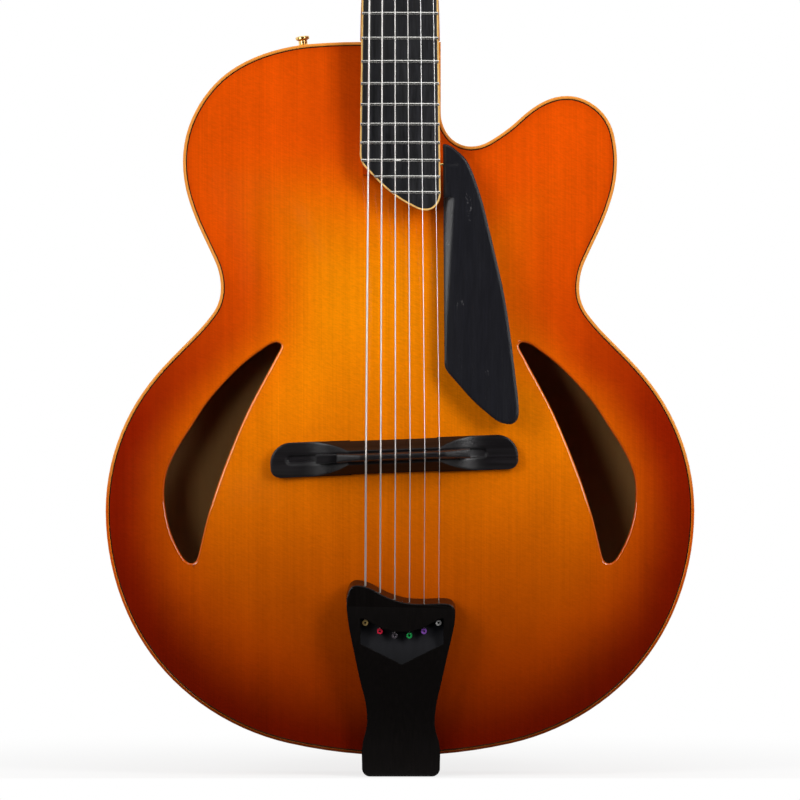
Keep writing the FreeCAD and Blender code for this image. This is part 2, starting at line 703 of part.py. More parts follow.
def make_tone_bars():
    """Two long bars under the top, fitted to its carved inside."""
    deep = TOP_INSIDE.copy()
    deep.translate(V(0, D.tone_bar_height, 0))
    shell = TOP_INSIDE.extrude(V(0, FAR / 2, 0)).cut(deep.extrude(V(0, FAR, 0)))
    bars = []
    for side in (-1, 1):
        bar = block(-D.tone_bar_width / 2, D.tone_bar_width / 2, -FAR / 2, FAR / 2,
                    -D.tone_bar_length / 2, D.tone_bar_length / 2)
        middle = at(side * D.tone_bar_spread, D.bridge_from_tail + D.tone_bar_lift)
        place = FreeCAD.Placement(middle, FreeCAD.Rotation(Y_AXIS, -side * D.tone_bar_angle))
        bars.append(moved(bar, place).common(shell))
    add_shape("tone_bars", Part.makeCompound(bars))


# Neck
def neck_half_width(down):
    """Half width of the fingerboard at a distance below the nut."""
    return (D.nut_width + (D.fingerboard_end_width - D.nut_width) * down / LAST_FRET) / 2


def shaft_points(down):
    """Half round behind the fingerboard, deeper in the heel."""
    slim = D.neck_depth_nut + (D.neck_depth_heel - D.neck_depth_nut) * down / NECK_JOINT
    swell = 1 - math.exp(-math.exp((D.heel_reach - NECK_JOINT + down) / D.heel_curve))
    half = neck_half_width(max(down, 0.0)) - D.neck_inset + D.heel_flare * swell
    depth = slim + D.heel_drop * swell
    points = []
    for step in range(NECK_POINTS):
        angle = math.pi * step / (NECK_POINTS - 1)
        points.append(V(half * math.cos(angle), D.fingerboard_thickness + depth * math.sin(angle), -down))
    return points


def even_knots(count):
    """Knots and multiplicities of a cubic curve with this many poles."""
    knots = [float(step) for step in range(count - 2)]
    return knots, [4] + [1] * (count - 4) + [4]


def neck_skin(downs):
    """A smooth skin drawn by the sections as its poles."""
    rows = [shaft_points(down) for down in downs]
    knots, counts = even_knots(len(rows))
    cross_knots, cross_counts = even_knots(NECK_POINTS)
    sheet = Part.BSplineSurface()
    sheet.buildFromPolesMultsKnots(rows, counts, cross_counts, knots, cross_knots, False, False, 3, 3)
    return sheet.toShape()


def neck_shaft():
    """A straight taper, then the sweep of the heel, cut square at the body."""
    downs = [NECK_JOINT + (0.1 - 0.25 * step) * D.heel_curve for step in range(HEEL_SECTIONS)]
    last = downs[-1]
    steps = [step / TAPER_SECTIONS for step in range(1, TAPER_SECTIONS + 1)]
    downs += [last * (1 - share) - D.nut_thickness * share for share in steps]
    room = block(-FAR, FAR, D.fingerboard_thickness, 3 * FAR, -5 * FAR, FAR)
    shaft = moved(neck_skin(downs).extrude(V(0, -2 * FAR, 0)).common(room), NECK)
    return shaft.cut(block(-FAR, FAR, -FAR, 3 * FAR, SHOULDER_Z - FAR, SHOULDER_Z))


def headstock_wire():
    """Flared sides and a shallow crown."""
    foot = D.nut_width / 2
    top = D.headstock_width / 2
    right = [
        (V(foot, 0, 0), V(0.15, 0, 1)),
        (V(0.8 * top, 0, 0.2 * D.headstock_length), V(0.2, 0, 1)),
        (V(top, 0, 0.9 * D.headstock_length), V(0.05, 0, 1)),
        (V(0.8 * top, 0, 0.97 * D.headstock_length), V(-1, 0, 0.1)),
        (V(0, 0, D.headstock_length), V(-1, 0, 0)),
    ]
    left = mirrored(right)
    return chain(right + left[1:]) + polyline([left[-1][0], right[0][0]])


def post_place(index):
    """Axis of a string's post on the headstock: side, distance out and up."""
    order = index if index < 3 else STRING_COUNT - 1 - index
    side = -1 if index < 3 else 1
    return side, D.post_offset_first + order * D.post_offset_step, D.post_first + order * D.post_step


def post_holes(radius):
    holes = []
    for index in range(STRING_COUNT):
        side, out, up = post_place(index)
        holes.append(Part.makeCylinder(radius, 2 * FAR, V(side * out, -FAR, up), Y_AXIS))
    return Part.makeCompound(holes)


def truss_pocket():
    half = D.truss_pocket_width / 2
    return block(-half, half, -D.veneer_thickness - 1, 0.6 * D.headstock_thickness,
                 -D.nut_thickness, D.truss_pocket_length)


def truss_rod():
    """Straight rod in the neck, with a round nut in the pocket behind the cover."""
    level = D.fingerboard_thickness + D.truss_rod_depth
    length = NECK_JOINT - D.truss_rod_margin
    return moved(Part.makeCylinder(D.truss_rod_radius, length, V(0, level, -length), Z_AXIS), NECK)


def make_neck():
    """One piece of wood: shaft, heel, tenon, riser over the top, and headstock."""
    shaft = neck_shaft()
    cap_front = BACK_Y - D.heel_cap_thickness
    cap_slab = block(-FAR, FAR, cap_front, BACK_Y, SHOULDER_Z - FAR, FAR)
    add_shape("heel_cap", shaft.common(cap_slab))
    shaft = shaft.cut(block(-FAR, FAR, cap_front, 3 * FAR, SHOULDER_Z - FAR, FAR))
    half = neck_half_width(NECK_JOINT) - D.riser_inset
    riser = block(-half, half, D.fingerboard_thickness, D.fingerboard_thickness + D.rim_depth / 2,
                  -RISER_END, D.riser_overlap - NECK_JOINT)
    riser = moved(riser, NECK).cut(behind_top(D.tail_seat))
    riser = riser.cut(block(-FAR, FAR, -D.tail_seat, FAR, SHOULDER_Z - FAR, SHOULDER_Z))
    head = y_prism(headstock_wire(), 0, D.headstock_thickness)
    head = moved(head, HEAD)
    pocket = moved(truss_pocket(), HEAD)
    holes = moved(post_holes(D.bushing_radius), HEAD)
    wood = shaft.fuse([riser, head, tenon_box()]).cut([pocket, holes, truss_rod()])
    wood = wood.cut(guard_pin())
    add_shape("neck", wood.removeSplitter())
    add_shape("truss_rod", truss_rod().cut(pocket))
    veneer = y_prism(headstock_wire(), -D.veneer_thickness, 0)
    veneer = veneer.cut([truss_pocket(), post_holes(D.bushing_radius)])
    add_shape("headstock_veneer", veneer, HEAD)


def make_truss_cover():
    """A small bell-shaped plate over the rod's pocket."""
    half = D.truss_cover_width / 2
    length = D.truss_cover_length
    right = [
        (V(half, 0, 0.5), V(0, 0, 1)),
        (V(0.5 * half, 0, 0.55 * length), V(-0.4, 0, 1)),
        (V(0, 0, length), V(-1, 0, 0)),
    ]
    left = mirrored(right)
    loop = chain(right + left[1:]) + polyline([left[-1][0], right[0][0]])
    plate = y_prism(loop, -D.veneer_thickness - D.truss_cover_thickness, -D.veneer_thickness)
    add_shape("truss_rod_cover", plate, HEAD)


# Fingerboard, in the frame of the neck
def fingerboard_wire(overhang):
    """Straight sides and a slanted, rounded end that reaches further on the treble side."""
    bass_down = BOARD_LENGTH - D.fingerboard_slant
    treble_down = BOARD_LENGTH - D.fingerboard_corner
    bass = V(-neck_half_width(bass_down), 0, -bass_down)
    treble = V(neck_half_width(treble_down), 0, -treble_down)
    wide = treble.x - bass.x
    shares = [(0, 1, 0, -1), (0.197, 0.564, 0.68, -0.73), (0.604, 0.108, 0.88, -0.475), (0.815, 0, 1, 0)]
    stations = []
    for x, z, dx, dz in shares:
        stations.append((V(bass.x + x * wide, 0, z * D.fingerboard_slant - BOARD_LENGTH), V(dx, 0, dz)))
    end = chain(stations + [(treble, Z_AXIS)])
    top_left = V(-neck_half_width(-overhang), 0, overhang)
    top_right = V(neck_half_width(-overhang), 0, overhang)
    return end + polyline([treble, top_right, top_left, bass])


def fingerboard_curve(extra=0.0):
    """The round bar whose front is the playing surface."""
    radius = D.fingerboard_radius + extra
    return Part.makeCylinder(radius, 6 * FAR, V(0, D.fingerboard_radius, -5 * FAR), Z_AXIS)


def fret(number):
    """A half-round crown bent to the curve of the fingerboard."""
    down = D.scale_length * (1 - 2 ** (-number / 12))
    half = D.fret_width / 2
    low = V(0, 0, -down - half)
    high = V(0, 0, -down + half)
    arc = Part.Arc(low, V(0, -D.fret_height, -down), high).toShape()
    crown = Part.Face(Part.Wire([arc, Part.LineSegment(high, low).toShape()]))
    spread = math.degrees(math.asin(0.6 * D.fingerboard_end_width / D.fingerboard_radius))
    centre = V(0, D.fingerboard_radius, 0)
    crown.rotate(centre, Z_AXIS, -spread)
    return crown.revolve(centre, Z_AXIS, 2 * spread)


def make_fingerboard():
    board = y_prism(fingerboard_wire(0.0), -5.0, D.fingerboard_thickness).common(fingerboard_curve())
    core = y_prism(inset(fingerboard_wire(10.0), D.fingerboard_binding), -10.0, D.fingerboard_thickness + 1)
    add_shape("fingerboard", board.common(core), NECK)
    add_shape("fingerboard_binding", board.cut(core), NECK)
    frets = Part.makeCompound([fret(number) for number in range(1, FRET_COUNT + 1)])
    trim = y_prism(inset(fingerboard_wire(10.0), 0.25), -10.0, D.fingerboard_thickness)
    add_shape("frets", frets.common(trim), NECK)


# Strings
TAIL_MIDDLE = 0.7 * D.string_centre


def gauge(index):
    return (D.gauge_6, D.gauge_5, D.gauge_4, D.gauge_3, D.gauge_2, D.gauge_1)[index]


def fan(index, spread):
    return (index / (STRING_COUNT - 1) - 0.5) * spread


def ball_point(index):
    """Where a string leaves its ball end, in a shallow arc across the tailpiece."""
    place = index - (STRING_COUNT - 1) / 2
    height = D.ball_height + D.ball_arc * place * place + D.ball_radius
    return at(TAIL_MIDDLE + fan(index, D.string_spread_tail), height, -D.ball_level)


def ball_heading(index):
    return saddle_point(index).sub(ball_point(index)).normalize()


def string_end(index):
    return ball_point(index).sub(ball_heading(index).multiply(D.ball_sink))


def ball_end(index):
    """A ring that lies flat in front of the viewer, with the string let into its rim."""
    axis = ball_heading(index).cross(X_AXIS).normalize()
    centre = ball_point(index).sub(ball_heading(index).multiply(D.ball_radius))
    start = centre.sub(V(axis).multiply(D.ball_width / 2))
    body = Part.makeCylinder(D.ball_radius, D.ball_width, start, axis)
    body = body.cut(Part.makeCylinder(D.ball_hole, D.ball_width, start, axis))
    return body.cut(Part.makeCylinder(gauge(index) / 2, FAR, string_end(index), ball_heading(index)))


def saddle_point(index):
    across = fan(index, D.string_spread_bridge)
    x = D.string_centre + across
    height = D.bridge_from_tail + x * math.tan(math.radians(D.bridge_tilt))
    return at(x, height, -D.saddle_height + across * across / 2 / D.fingerboard_radius)


def nut_point(index):
    across = fan(index, D.string_spread_nut)
    level = -D.nut_clearance - gauge(index) / 2 + across * across / 2 / D.fingerboard_radius
    return NECK.multVec(V(across, level, D.nut_thickness / 2))


def wrap_radius(index):
    return D.post_radius + gauge(index) / 2 + D.wrap_gap


def post_contact(index):
    """In the headstock's frame: the post's centre and the point where the string meets it."""
    side, out, up = post_place(index)
    start = HEAD.inverse().multVec(nut_point(index))
    centre = V(side * out, start.y, up)
    reach = start.sub(centre)
    angle = math.acos(wrap_radius(index) / reach.Length)
    toward = V(reach).normalize()
    turn = FreeCAD.Rotation(Y_AXIS, side * math.degrees(angle))
    return centre, centre.add(turn.multVec(toward).multiply(wrap_radius(index)))


def wrap_arcs(centre, contact, side, climb, turns, radius):
    """Half-turn pairs of arcs round a post from contact, rising by climb each turn."""
    first = contact.sub(centre)
    edges = []
    halves = int(2 * turns)
    slope = climb / (2 * math.pi * radius)
    for half in range(halves):
        ends = []
        for share in (half, half + 1):
            turn = FreeCAD.Rotation(Y_AXIS, side * 180.0 * share)
            out = turn.multVec(first)
            heading = Y_AXIS.cross(out).normalize().multiply(side)
            ends.append((centre.add(out).add(V(0, -climb * share / 2, 0)), heading.add(V(0, -slope, 0))))
        edges += biarc(ends[0][0], ends[0][1], ends[1][0], ends[1][1])
    return edges


def string_tube(index):
    """From the ball end over saddle and nut, ending in one turn round the post."""
    centre, contact = post_contact(index)
    side = post_place(index)[0]
    run = [string_end(index), saddle_point(index), nut_point(index), HEAD.multVec(contact)]
    edges = rounded_path(run, D.string_bend)
    hook = wrap_arcs(centre, contact, side, 0.0, 1, wrap_radius(index))[:3]
    for edge in hook:
        edge.transformShape(HEAD.toMatrix())
    return tube(edges + hook, gauge(index) / 2)


def string_seat(index, corner, before, after):
    """The groove that a string leaves in what it bends over."""
    reach = 2.5 * D.string_bend
    start = corner.add(before.sub(corner).normalize().multiply(reach))
    end = corner.add(after.sub(corner).normalize().multiply(reach))
    return tube(rounded_path([start, corner, end], D.string_bend), gauge(index) / 2 + D.string_seat)


def string_way(index, corner, before, after):
    """The slot in front of a groove, by which the string leaves it when the saddle is lowered."""
    half = gauge(index) / 2 + 2 * D.string_seat
    reach = 0.5 * D.string_bend
    low = corner.add(V(0, gauge(index) / 4 + D.string_seat, 0))
    near = low.add(before.sub(corner).normalize().multiply(reach))
    far = low.add(after.sub(corner).normalize().multiply(reach))
    across = far.sub(near).cross(Y_AXIS).normalize()
    middle = low.sub(V(across).multiply(across.dot(low.sub(near))))
    rise = V(0, -FAR, 0)
    wall = plate_face(polygon([near, middle, far, far.add(rise), near.add(rise)]))
    wall.translate(V(across).multiply(-half))
    return wall.extrude(V(across).multiply(2 * half))


def string_winding(index):
    """The turns that ride on a post, above the string's own loop."""
    centre, contact = post_contact(index)
    side = post_place(index)[0]
    climb = gauge(index) + D.wrap_step
    lift = V(0, -climb, 0)
    edges = wrap_arcs(centre.add(lift), contact.add(lift), side, climb, WINDING_TURNS, wrap_radius(index))
    print("winding", index + 1, "least gap to itself", round(climb - gauge(index), 2), "mm")
    return tube(edges, gauge(index) / 2)


def make_strings():
    tubes = [string_tube(index) for index in range(STRING_COUNT)]
    add_shape("wound_strings", Part.makeCompound(tubes[:WOUND_COUNT]))
    add_shape("plain_strings", Part.makeCompound(tubes[WOUND_COUNT:]))
    add_shape("ball_ends", Part.makeCompound([ball_end(index) for index in range(STRING_COUNT)]))
    for index in range(STRING_COUNT):
        add_shape("string_winding_%d" % (STRING_COUNT - index), string_winding(index), HEAD)


def make_nut():
    """Bone block, curved like the fingerboard, with a groove for each string."""
    half = D.nut_width / 2
    bone = block(-half, half, -5.0, D.fingerboard_thickness, 0, D.nut_thickness)
    bone = moved(bone.common(fingerboard_curve(D.nut_clearance + D.gauge_4 / 2)), NECK)
    for index in range(STRING_COUNT):
        after = HEAD.multVec(post_contact(index)[1])
        bone = bone.cut(string_seat(index, nut_point(index), saddle_point(index), after))
    add_shape("nut", bone)


# Bridge, in its own slanted frame
BRIDGE_HEIGHT = D.bridge_from_tail + D.bridge_offset * math.tan(math.radians(D.bridge_tilt))
BRIDGE = FreeCAD.Placement(at(D.bridge_offset, BRIDGE_HEIGHT), FreeCAD.Rotation(Y_AXIS, -D.bridge_tilt))


def wing_level():
    reach = D.bridge_length / 2
    tips = [arch_level(D.bridge_offset + side * reach, BRIDGE_HEIGHT) for side in (-1, 1)]
    return min(tips) - D.bridge_wing


def bridge_side_view(drop):
    """Thin wings that sweep up in a hollow curve to the ridge, lowered by drop."""
    tip = wing_level() + drop
    ridge = -D.bridge_ridge_level + drop
    reach = D.bridge_length / 2
    run = D.bridge_scoop_start - D.bridge_ridge_half
    rise = tip - ridge
    radius = (run * run + rise * rise) / (2 * rise)
    swing = math.asin(min(1.0, run / radius)) / 2
    middle_run = radius * math.sin(swing)
    middle_rise = radius * (1 - math.cos(swing))
    edges = []
    for side in (-1, 1):
        start = V(side * D.bridge_scoop_start, tip, 0)
        middle = V(side * (D.bridge_scoop_start - middle_run), tip - middle_rise, 0)
        end = V(side * D.bridge_ridge_half, ridge, 0)
        edges.append(Part.Arc(start, middle, end).toShape())
        outer = V(side * reach, tip, 0)
        edges.append(Part.LineSegment(start, outer).toShape())
        edges.append(Part.LineSegment(outer, V(side * reach, FAR, 0)).toShape())
    edges += polyline([V(-reach, FAR, 0), V(reach, FAR, 0)])
    edges += polyline([V(-D.bridge_ridge_half, ridge, 0), V(D.bridge_ridge_half, ridge, 0)])
    face = plate_face(edges)
    face.translate(V(0, 0, -D.bridge_width))
    return face.extrude(V(0, 0, 2 * D.bridge_width))


def rounded_bar(left, right, half, high, low):
    """Plan of a bar with rounded ends, with one radius on its upper corners and one on its lower."""
    body = block(left, right, -FAR, FAR, -half, half)
    for level, radius in ((half, high), (-half, low)):
        upright = [edge for edge in body.Edges if abs(edge.tangentAt(edge.FirstParameter).y) > 0.9]
        body = body.makeFillet(radius, [edge for edge in upright if abs(edge.BoundBox.ZMin - level) < 1e-3])
    return body


def flank_cut(side):
    """What is cut away beside the ridge, leaving a steep flank."""
    half = D.bridge_width / 2
    low = wing_level() - 1.0
    high = -D.bridge_ridge_level
    slope = (half - D.bridge_ridge_width / 2) / (low - high)
    far = high - D.bridge_ridge_level
    points = [V(-FAR, low, side * half), V(-FAR, far, side * (half + slope * (far - low))),
              V(-FAR, far, side * 3 * half), V(-FAR, low, side * 3 * half)]
    return plate_face(polygon(points)).extrude(V(2 * FAR, 0, 0))


def make_bridge():
    """Base with scooped wings; a wedge slides in its groove and carries the saddle."""
    half = D.bridge_width / 2
    reach = D.bridge_length / 2
    plan = rounded_bar(-reach, reach, half, D.bridge_corner_high, D.bridge_corner_low)
    base = plan.common(bridge_side_view(0.0)).cut([flank_cut(-1), flank_cut(1)])
    corner = 0.49 * D.slot_width
    slot = rounded_bar(-D.slot_bass, D.slot_treble, D.slot_width / 2, corner, corner)
    base = base.cut(slot.cut(bridge_side_view(D.slot_groove)))
    base = base.cut(slot.common(block(-reach, reach, -FAR, -D.slot_floor_level, -half, half)))
    arch = D.bridge_relief_half
    relief = block(-arch, arch, -D.top_arch - D.bridge_relief, FAR, -half, half)
    base = moved(base.cut(relief), BRIDGE).cut(behind_top(D.tail_seat))
    add_shape("bridge_base", base)

    side = D.slot_width / 2 - D.slide_gap
    floor = -D.slot_floor_level - D.slide_gap
    thick = D.wedge_tip + D.wedge_slope * (D.wedge_treble + D.wedge_bass)
    points = [V(D.wedge_treble, floor, -side), V(-D.wedge_bass, floor, -side),
              V(-D.wedge_bass, floor - thick, -side), V(D.wedge_treble, floor - D.wedge_tip, -side)]
    add_shape("bridge_wedge", plate_face(polygon(points)).extrude(V(0, 0, 2 * side)), BRIDGE)

    def seat(x):
        return floor - D.wedge_tip - D.wedge_slope * (D.wedge_treble - x) - D.slide_gap
    crest = -D.saddle_height
    low = 0.35 * crest - 0.65 * D.bridge_ridge_level
    span = D.string_spread_bridge / 2
    middle = D.string_centre - D.bridge_offset
    drop = span * span / 2 / D.fingerboard_radius
    left = V(middle - span - 4, crest + drop, 0)
    right = V(middle + span + 4, crest + drop, 0)
    outline = polyline([left, V(-D.saddle_bass, low, 0), V(-D.saddle_bass, seat(-D.saddle_bass), 0),
                        V(D.saddle_treble, seat(D.saddle_treble), 0), V(D.saddle_treble, low, 0), right])
    face = plate_face(outline + [Part.Arc(right, V(middle, crest, 0), left).toShape()])
    face.translate(V(0, 0, -side))
    saddle = face.extrude(V(0, 0, 2 * side))
    for sign in (-1, 1):
        ridge = -D.bridge_ridge_level - 0.5
        points = [V(-FAR, ridge, sign * side), V(-FAR, crest - 1, sign * D.saddle_crest / 2),
                  V(-FAR, crest - 1, sign * 2 * side), V(-FAR, ridge, sign * 2 * side)]
        saddle = saddle.cut(plate_face(polygon(points)).extrude(V(2 * FAR, 0, 0)))
    saddle = moved(saddle, BRIDGE)
    for index in range(STRING_COUNT):
        bend = (saddle_point(index), ball_point(index), nut_point(index))
        saddle = saddle.cut(string_seat(index, *bend)).cut(string_way(index, *bend))
    add_shape("bridge_saddle", saddle)


# Tailpiece, with heights above the tail edge
TAIL_END_HEIGHT = 130.0
SHIELD_POINT = 64.1
SHIELD_SIDE = 78.4


def tail_stations(rows):
    return [(at(TAIL_MIDDLE / 2 + x, z), V(dx, 0, dz)) for x, z, dx, dz in rows]


def tailpiece_top():
    """The upper edge: high on the bass side, falling in an S to the treble side."""
    top = D.tail_top_width / 2
    return tail_stations([
        (-top, 110.0, 0, 1), (-0.792 * top, 122.2, 1, -0.1), (-0.096 * top, 111.8, 1, -0.33),
        (0.355 * top, 109.3, 1, 0), (0.827 * top, 109.6, 1, -0.05), (top, 103.5, 0, -1),
    ])


def tailpiece_wire():
    """Slanted upper edge, drawn-in waist and a broader foot."""
    top = D.tail_top_width / 2
    waist = D.tail_waist_width / 2
    foot = D.tail_foot_width / 2
    corner = D.tail_foot_corner
    end = -D.tail_foot_reach
    lower = tail_stations([
        (0.81 * top, 63.0, -0.21, -1), (waist, 23.0, 0, -1), (foot, 5.0, 0.08, -1),
        (foot, end + corner, 0, -1), (foot - corner, end, -1, 0), (corner - foot, end, -1, 0),
        (-foot, end + corner, 0, 1), (-foot, 5.0, 0.08, 1), (-waist, 25.0, 0, 1),
        (-0.81 * top, 63.0, -0.2, 1),
    ])
    upper = tailpiece_top()
    return chain(upper + lower + upper[:1])


def end_slant():
    """What the slanted upper end leaves off in front."""
    edge = tailpiece_top()
    left = edge[0][0]
    right = edge[-1][0]
    corners = [right, V(FAR, 0, right.z), V(FAR, 0, right.z + FAR), V(-FAR, 0, right.z + FAR),
               V(-FAR, 0, left.z), left]
    face = plate_face(chain(edge) + polyline(corners))
    face.translate(V(0, D.tail_thickness - D.tail_level, 0))
    return face.extrude(V(0, -2 * D.tail_thickness, -2 * D.tail_slant))


def tailpiece_side_view():
    """Level string end, hollow slope to the tail, and a foot that turns down the rim."""
    front = -D.tail_level
    under = front + D.tail_thickness
    end = -D.tail_foot_reach
    corner = D.tail_foot_corner
    outer = [
        (at(0, TAIL_END_HEIGHT, front), V(0, 0, -1)),
        (at(0, 92.0, front + 1.5), V(0, 1.5, -10)),
        (at(0, 30.0, front + 18.0), V(0, 3, -10)),
        (at(0, 6.0, front + 22.5), V(0, 0.5, -10)),
        (at(0, end + corner, front + 23.5), V(0, 0.5, -10)),
        (at(0, end, front + 23.5 + corner), V(0, 1, 0)),
    ]
    corners = [outer[-1][0], at(0, end, D.tail_foot_depth), at(0, D.tail_foot_inset, D.tail_foot_depth),
               at(0, D.tail_foot_inset, -D.tail_rim_gap), at(0, TAIL_END_HEIGHT, under), outer[0][0]]
    face = plate_face(chain(outer) + polyline(corners))
    face.translate(V(-FAR, 0, 0))
    return face.extrude(V(2 * FAR, 0, 0))


def shield_recess():
    """Shield-shaped pocket for the ball ends, with a floor that deepens towards them."""
    balls = [ball_point(index) for index in range(STRING_COUNT)]
    upper = [V(ball.x, 0, ball.z + D.recess_gap) for ball in balls]
    left = V(upper[0].x - D.recess_side, 0, upper[0].z + D.recess_gap)
    right = V(upper[-1].x + D.recess_side, 0, upper[-1].z + D.recess_gap)
    point = at(TAIL_MIDDLE, SHIELD_POINT)
    lower = [V(left.x, 0, at(0, SHIELD_SIDE).z), point, V(right.x, 0, at(0, SHIELD_SIDE).z)]
    plan = y_prism(polygon([left] + lower + [right] + upper[::-1]), -FAR, FAR)
    level = D.recess_depth - D.tail_level
    deep = [V(0, level + D.recess_slope * rise, point.z + rise) for rise in (-FAR, FAR)]
    floor = plate_face(polygon(deep + [V(0, -2 * FAR, deep[1].z), V(0, -2 * FAR, deep[0].z)]))
    floor.translate(V(-FAR, 0, 0))
    return plan.common(floor.extrude(V(2 * FAR, 0, 0)))


def make_tailpiece():
    wood = y_prism(tailpiece_wire(), -FAR, FAR).common(tailpiece_side_view()).cut(end_slant())
    body = y_prism(inset(OUTLINE, -D.tail_seat), -1.0, FAR)
    wood = wood.cut(body).cut(shield_recess())
    for index in range(STRING_COUNT):
        radius = gauge(index) / 2 + D.string_hole_gap
        wood = wood.cut(Part.makeCylinder(radius, FAR, string_end(index), ball_heading(index)))
    screws = [tail_screw(sign) for sign in (-1, 1)]
    add_shape("tailpiece", wood.cut(screws))
    add_shape("tailpiece_screws", Part.makeCompound(screws))


# Pickguard, in the frame of the neck
FACET_START = (37.0, 386.0)
FACET_END = (31.2, 274.0)


def guard_wire():
    stations = [
        (29.6, 423.0, 1, 0), (42.1, 416.0, 0.75, -0.66), (50.6, 401.9, 0.35, -0.94),
        (67.6, 338.4, 0.23, -0.97), (78.9, 267.7, 0.11, -0.99), (81.7, 237.5, 0, -1),
        (75.5, 229.9, -1, 0), (56.2, 240.8, -0.76, 0.65), (33.7, 264.9, -0.66, 0.75), (30.6, 272.0, 0, 1),
    ]
    points = [(V(x, 0, along_neck(z)), V(dx, 0, dz)) for x, z, dx, dz in stations]
    return chain(points) + polyline([points[-1][0], points[0][0]])


def guard_pin():
    """A pin from the riser's side into the edge of the pickguard."""
    level = D.guard_drop + D.guard_thickness / 2
    down = RISER_END - D.guard_pin_margin
    start = V(neck_half_width(down) - D.guard_pin_sink, level, -down)
    return moved(Part.makeCylinder(D.guard_pin_radius, D.guard_pin_length, start, X_AXIS), NECK)


def guard_facet():
    """What the long tapering facet beside the strings takes off."""
    front = D.guard_drop
    side = min(edge.BoundBox.XMin for edge in guard_wire())
    sections = []
    for (x, height), depth in ((FACET_START, D.guard_bevel), (FACET_END, D.guard_bevel_end)):
        z = along_neck(height)
        slope = depth / (x - side)
        low = V(x - FAR / 5, front + slope * FAR / 5, z)
        sections.append(closed(polygon([V(x, front, z), V(low.x, front - 1, z), low])))
    return Part.makeLoft(sections, True, True)


def make_pickguard():
    front = D.guard_drop
    plate = y_prism(guard_wire(), front, front + D.guard_thickness).cut(guard_facet())
    add_shape("pickguard", moved(plate, NECK).cut(guard_pin()))
    foot = V(D.guard_post_offset, front + D.guard_thickness, along_neck(D.guard_post_height))
    post = moved(Part.makeCylinder(D.guard_post_radius, FAR / 2, foot, Y_AXIS), NECK)
    add_shape("pickguard_supports", Part.makeCompound([post.cut(behind_top(D.tail_seat)), guard_pin()]))


# Turned pieces
def origin_item(body, role):
    """A plane or an axis of the body's own frame."""
    return [item for item in body.Origin.OriginFeatures if item.Role == role][0]


def profile_sketch(body, name, role, points):
    """A closed polygon whose corners are all tied to the sheet."""
    sketch = body.newObject("Sketcher::SketchObject", name)
    sketch.AttachmentSupport = [(origin_item(body, role), "")]
    sketch.MapMode = "FlatFace"
    count = len(points)
    for index in range(count):
        x0, y0 = points[index]
        x1, y1 = points[(index + 1) % count]
        sketch.addGeometry(Part.LineSegment(V(x0, y0, 0), V(x1, y1, 0)))
    for index in range(count):
        sketch.addConstraint(Sketcher.Constraint("Coincident", index, 2, (index + 1) % count, 1))
    for index, corner in enumerate(points):
        for kind, axis, value in (("DistanceX", -2, corner[0]), ("DistanceY", -1, corner[1])):
            tie_corner(sketch, index, kind, axis, value)
    return sketch


def tie_corner(sketch, index, kind, axis, value):
    if abs(float(value)) < 1e-9:
        sketch.addConstraint(Sketcher.Constraint("PointOnObject", index, 1, axis))
        return
    if value > 0:
        number = sketch.addConstraint(Sketcher.Constraint(kind, -1, 1, index, 1, float(value)))
        sketch.setExpression("Constraints[%d]" % number, expression(value))
    else:
        number = sketch.addConstraint(Sketcher.Constraint(kind, index, 1, -1, 1, -float(value)))
        sketch.setExpression("Constraints[%d]" % number, expression(-value))


def turned_body(label, points, placement, axis="V_Axis"):
    """A piece turned on a lathe about the Y axis of its own frame (or X, for H_Axis)."""
    body = doc.addObject("PartDesign::Body", label)
    sketch = profile_sketch(body, label + "_profile", "XY_Plane", points)
    turning = body.newObject("PartDesign::Revolution", label + "_turning")
    turning.Profile = sketch
    turning.ReferenceAxis = (sketch, [axis])
    turning.Angle = 360
    body.Placement = placement
    PARTS.append(body)
    return body


def button_place():
    """Strap button on the bass shoulder: its seat on the rim and the outward direction."""
    shoulder = [edge for edge in OUTLINE if edge.BoundBox.ZMin > SHOULDER_Z - FAR and edge.BoundBox.XMax < 0]
    curve = [edge for edge in shoulder if edge.BoundBox.XMin < -D.button_offset < edge.BoundBox.XMax][0]
    cut = Part.LineSegment(V(-D.button_offset, 0, SHOULDER_Z - FAR), V(-D.button_offset, 0, SHOULDER_Z + FAR))
    spot = curve.distToShape(cut.toShape())[1][0][0]
    heading = curve.tangentAt(curve.Curve.parameter(spot))
    return V(spot.x, D.rim_depth / 2, spot.z), V(heading.z, 0, -heading.x)


def strap_button_hole():
    seat, normal = button_place()
    start = seat.sub(V(normal).multiply(D.button_screw_length))
    return Part.makeCylinder(D.button_screw_radius, D.button_screw_length + 5, start, normal)


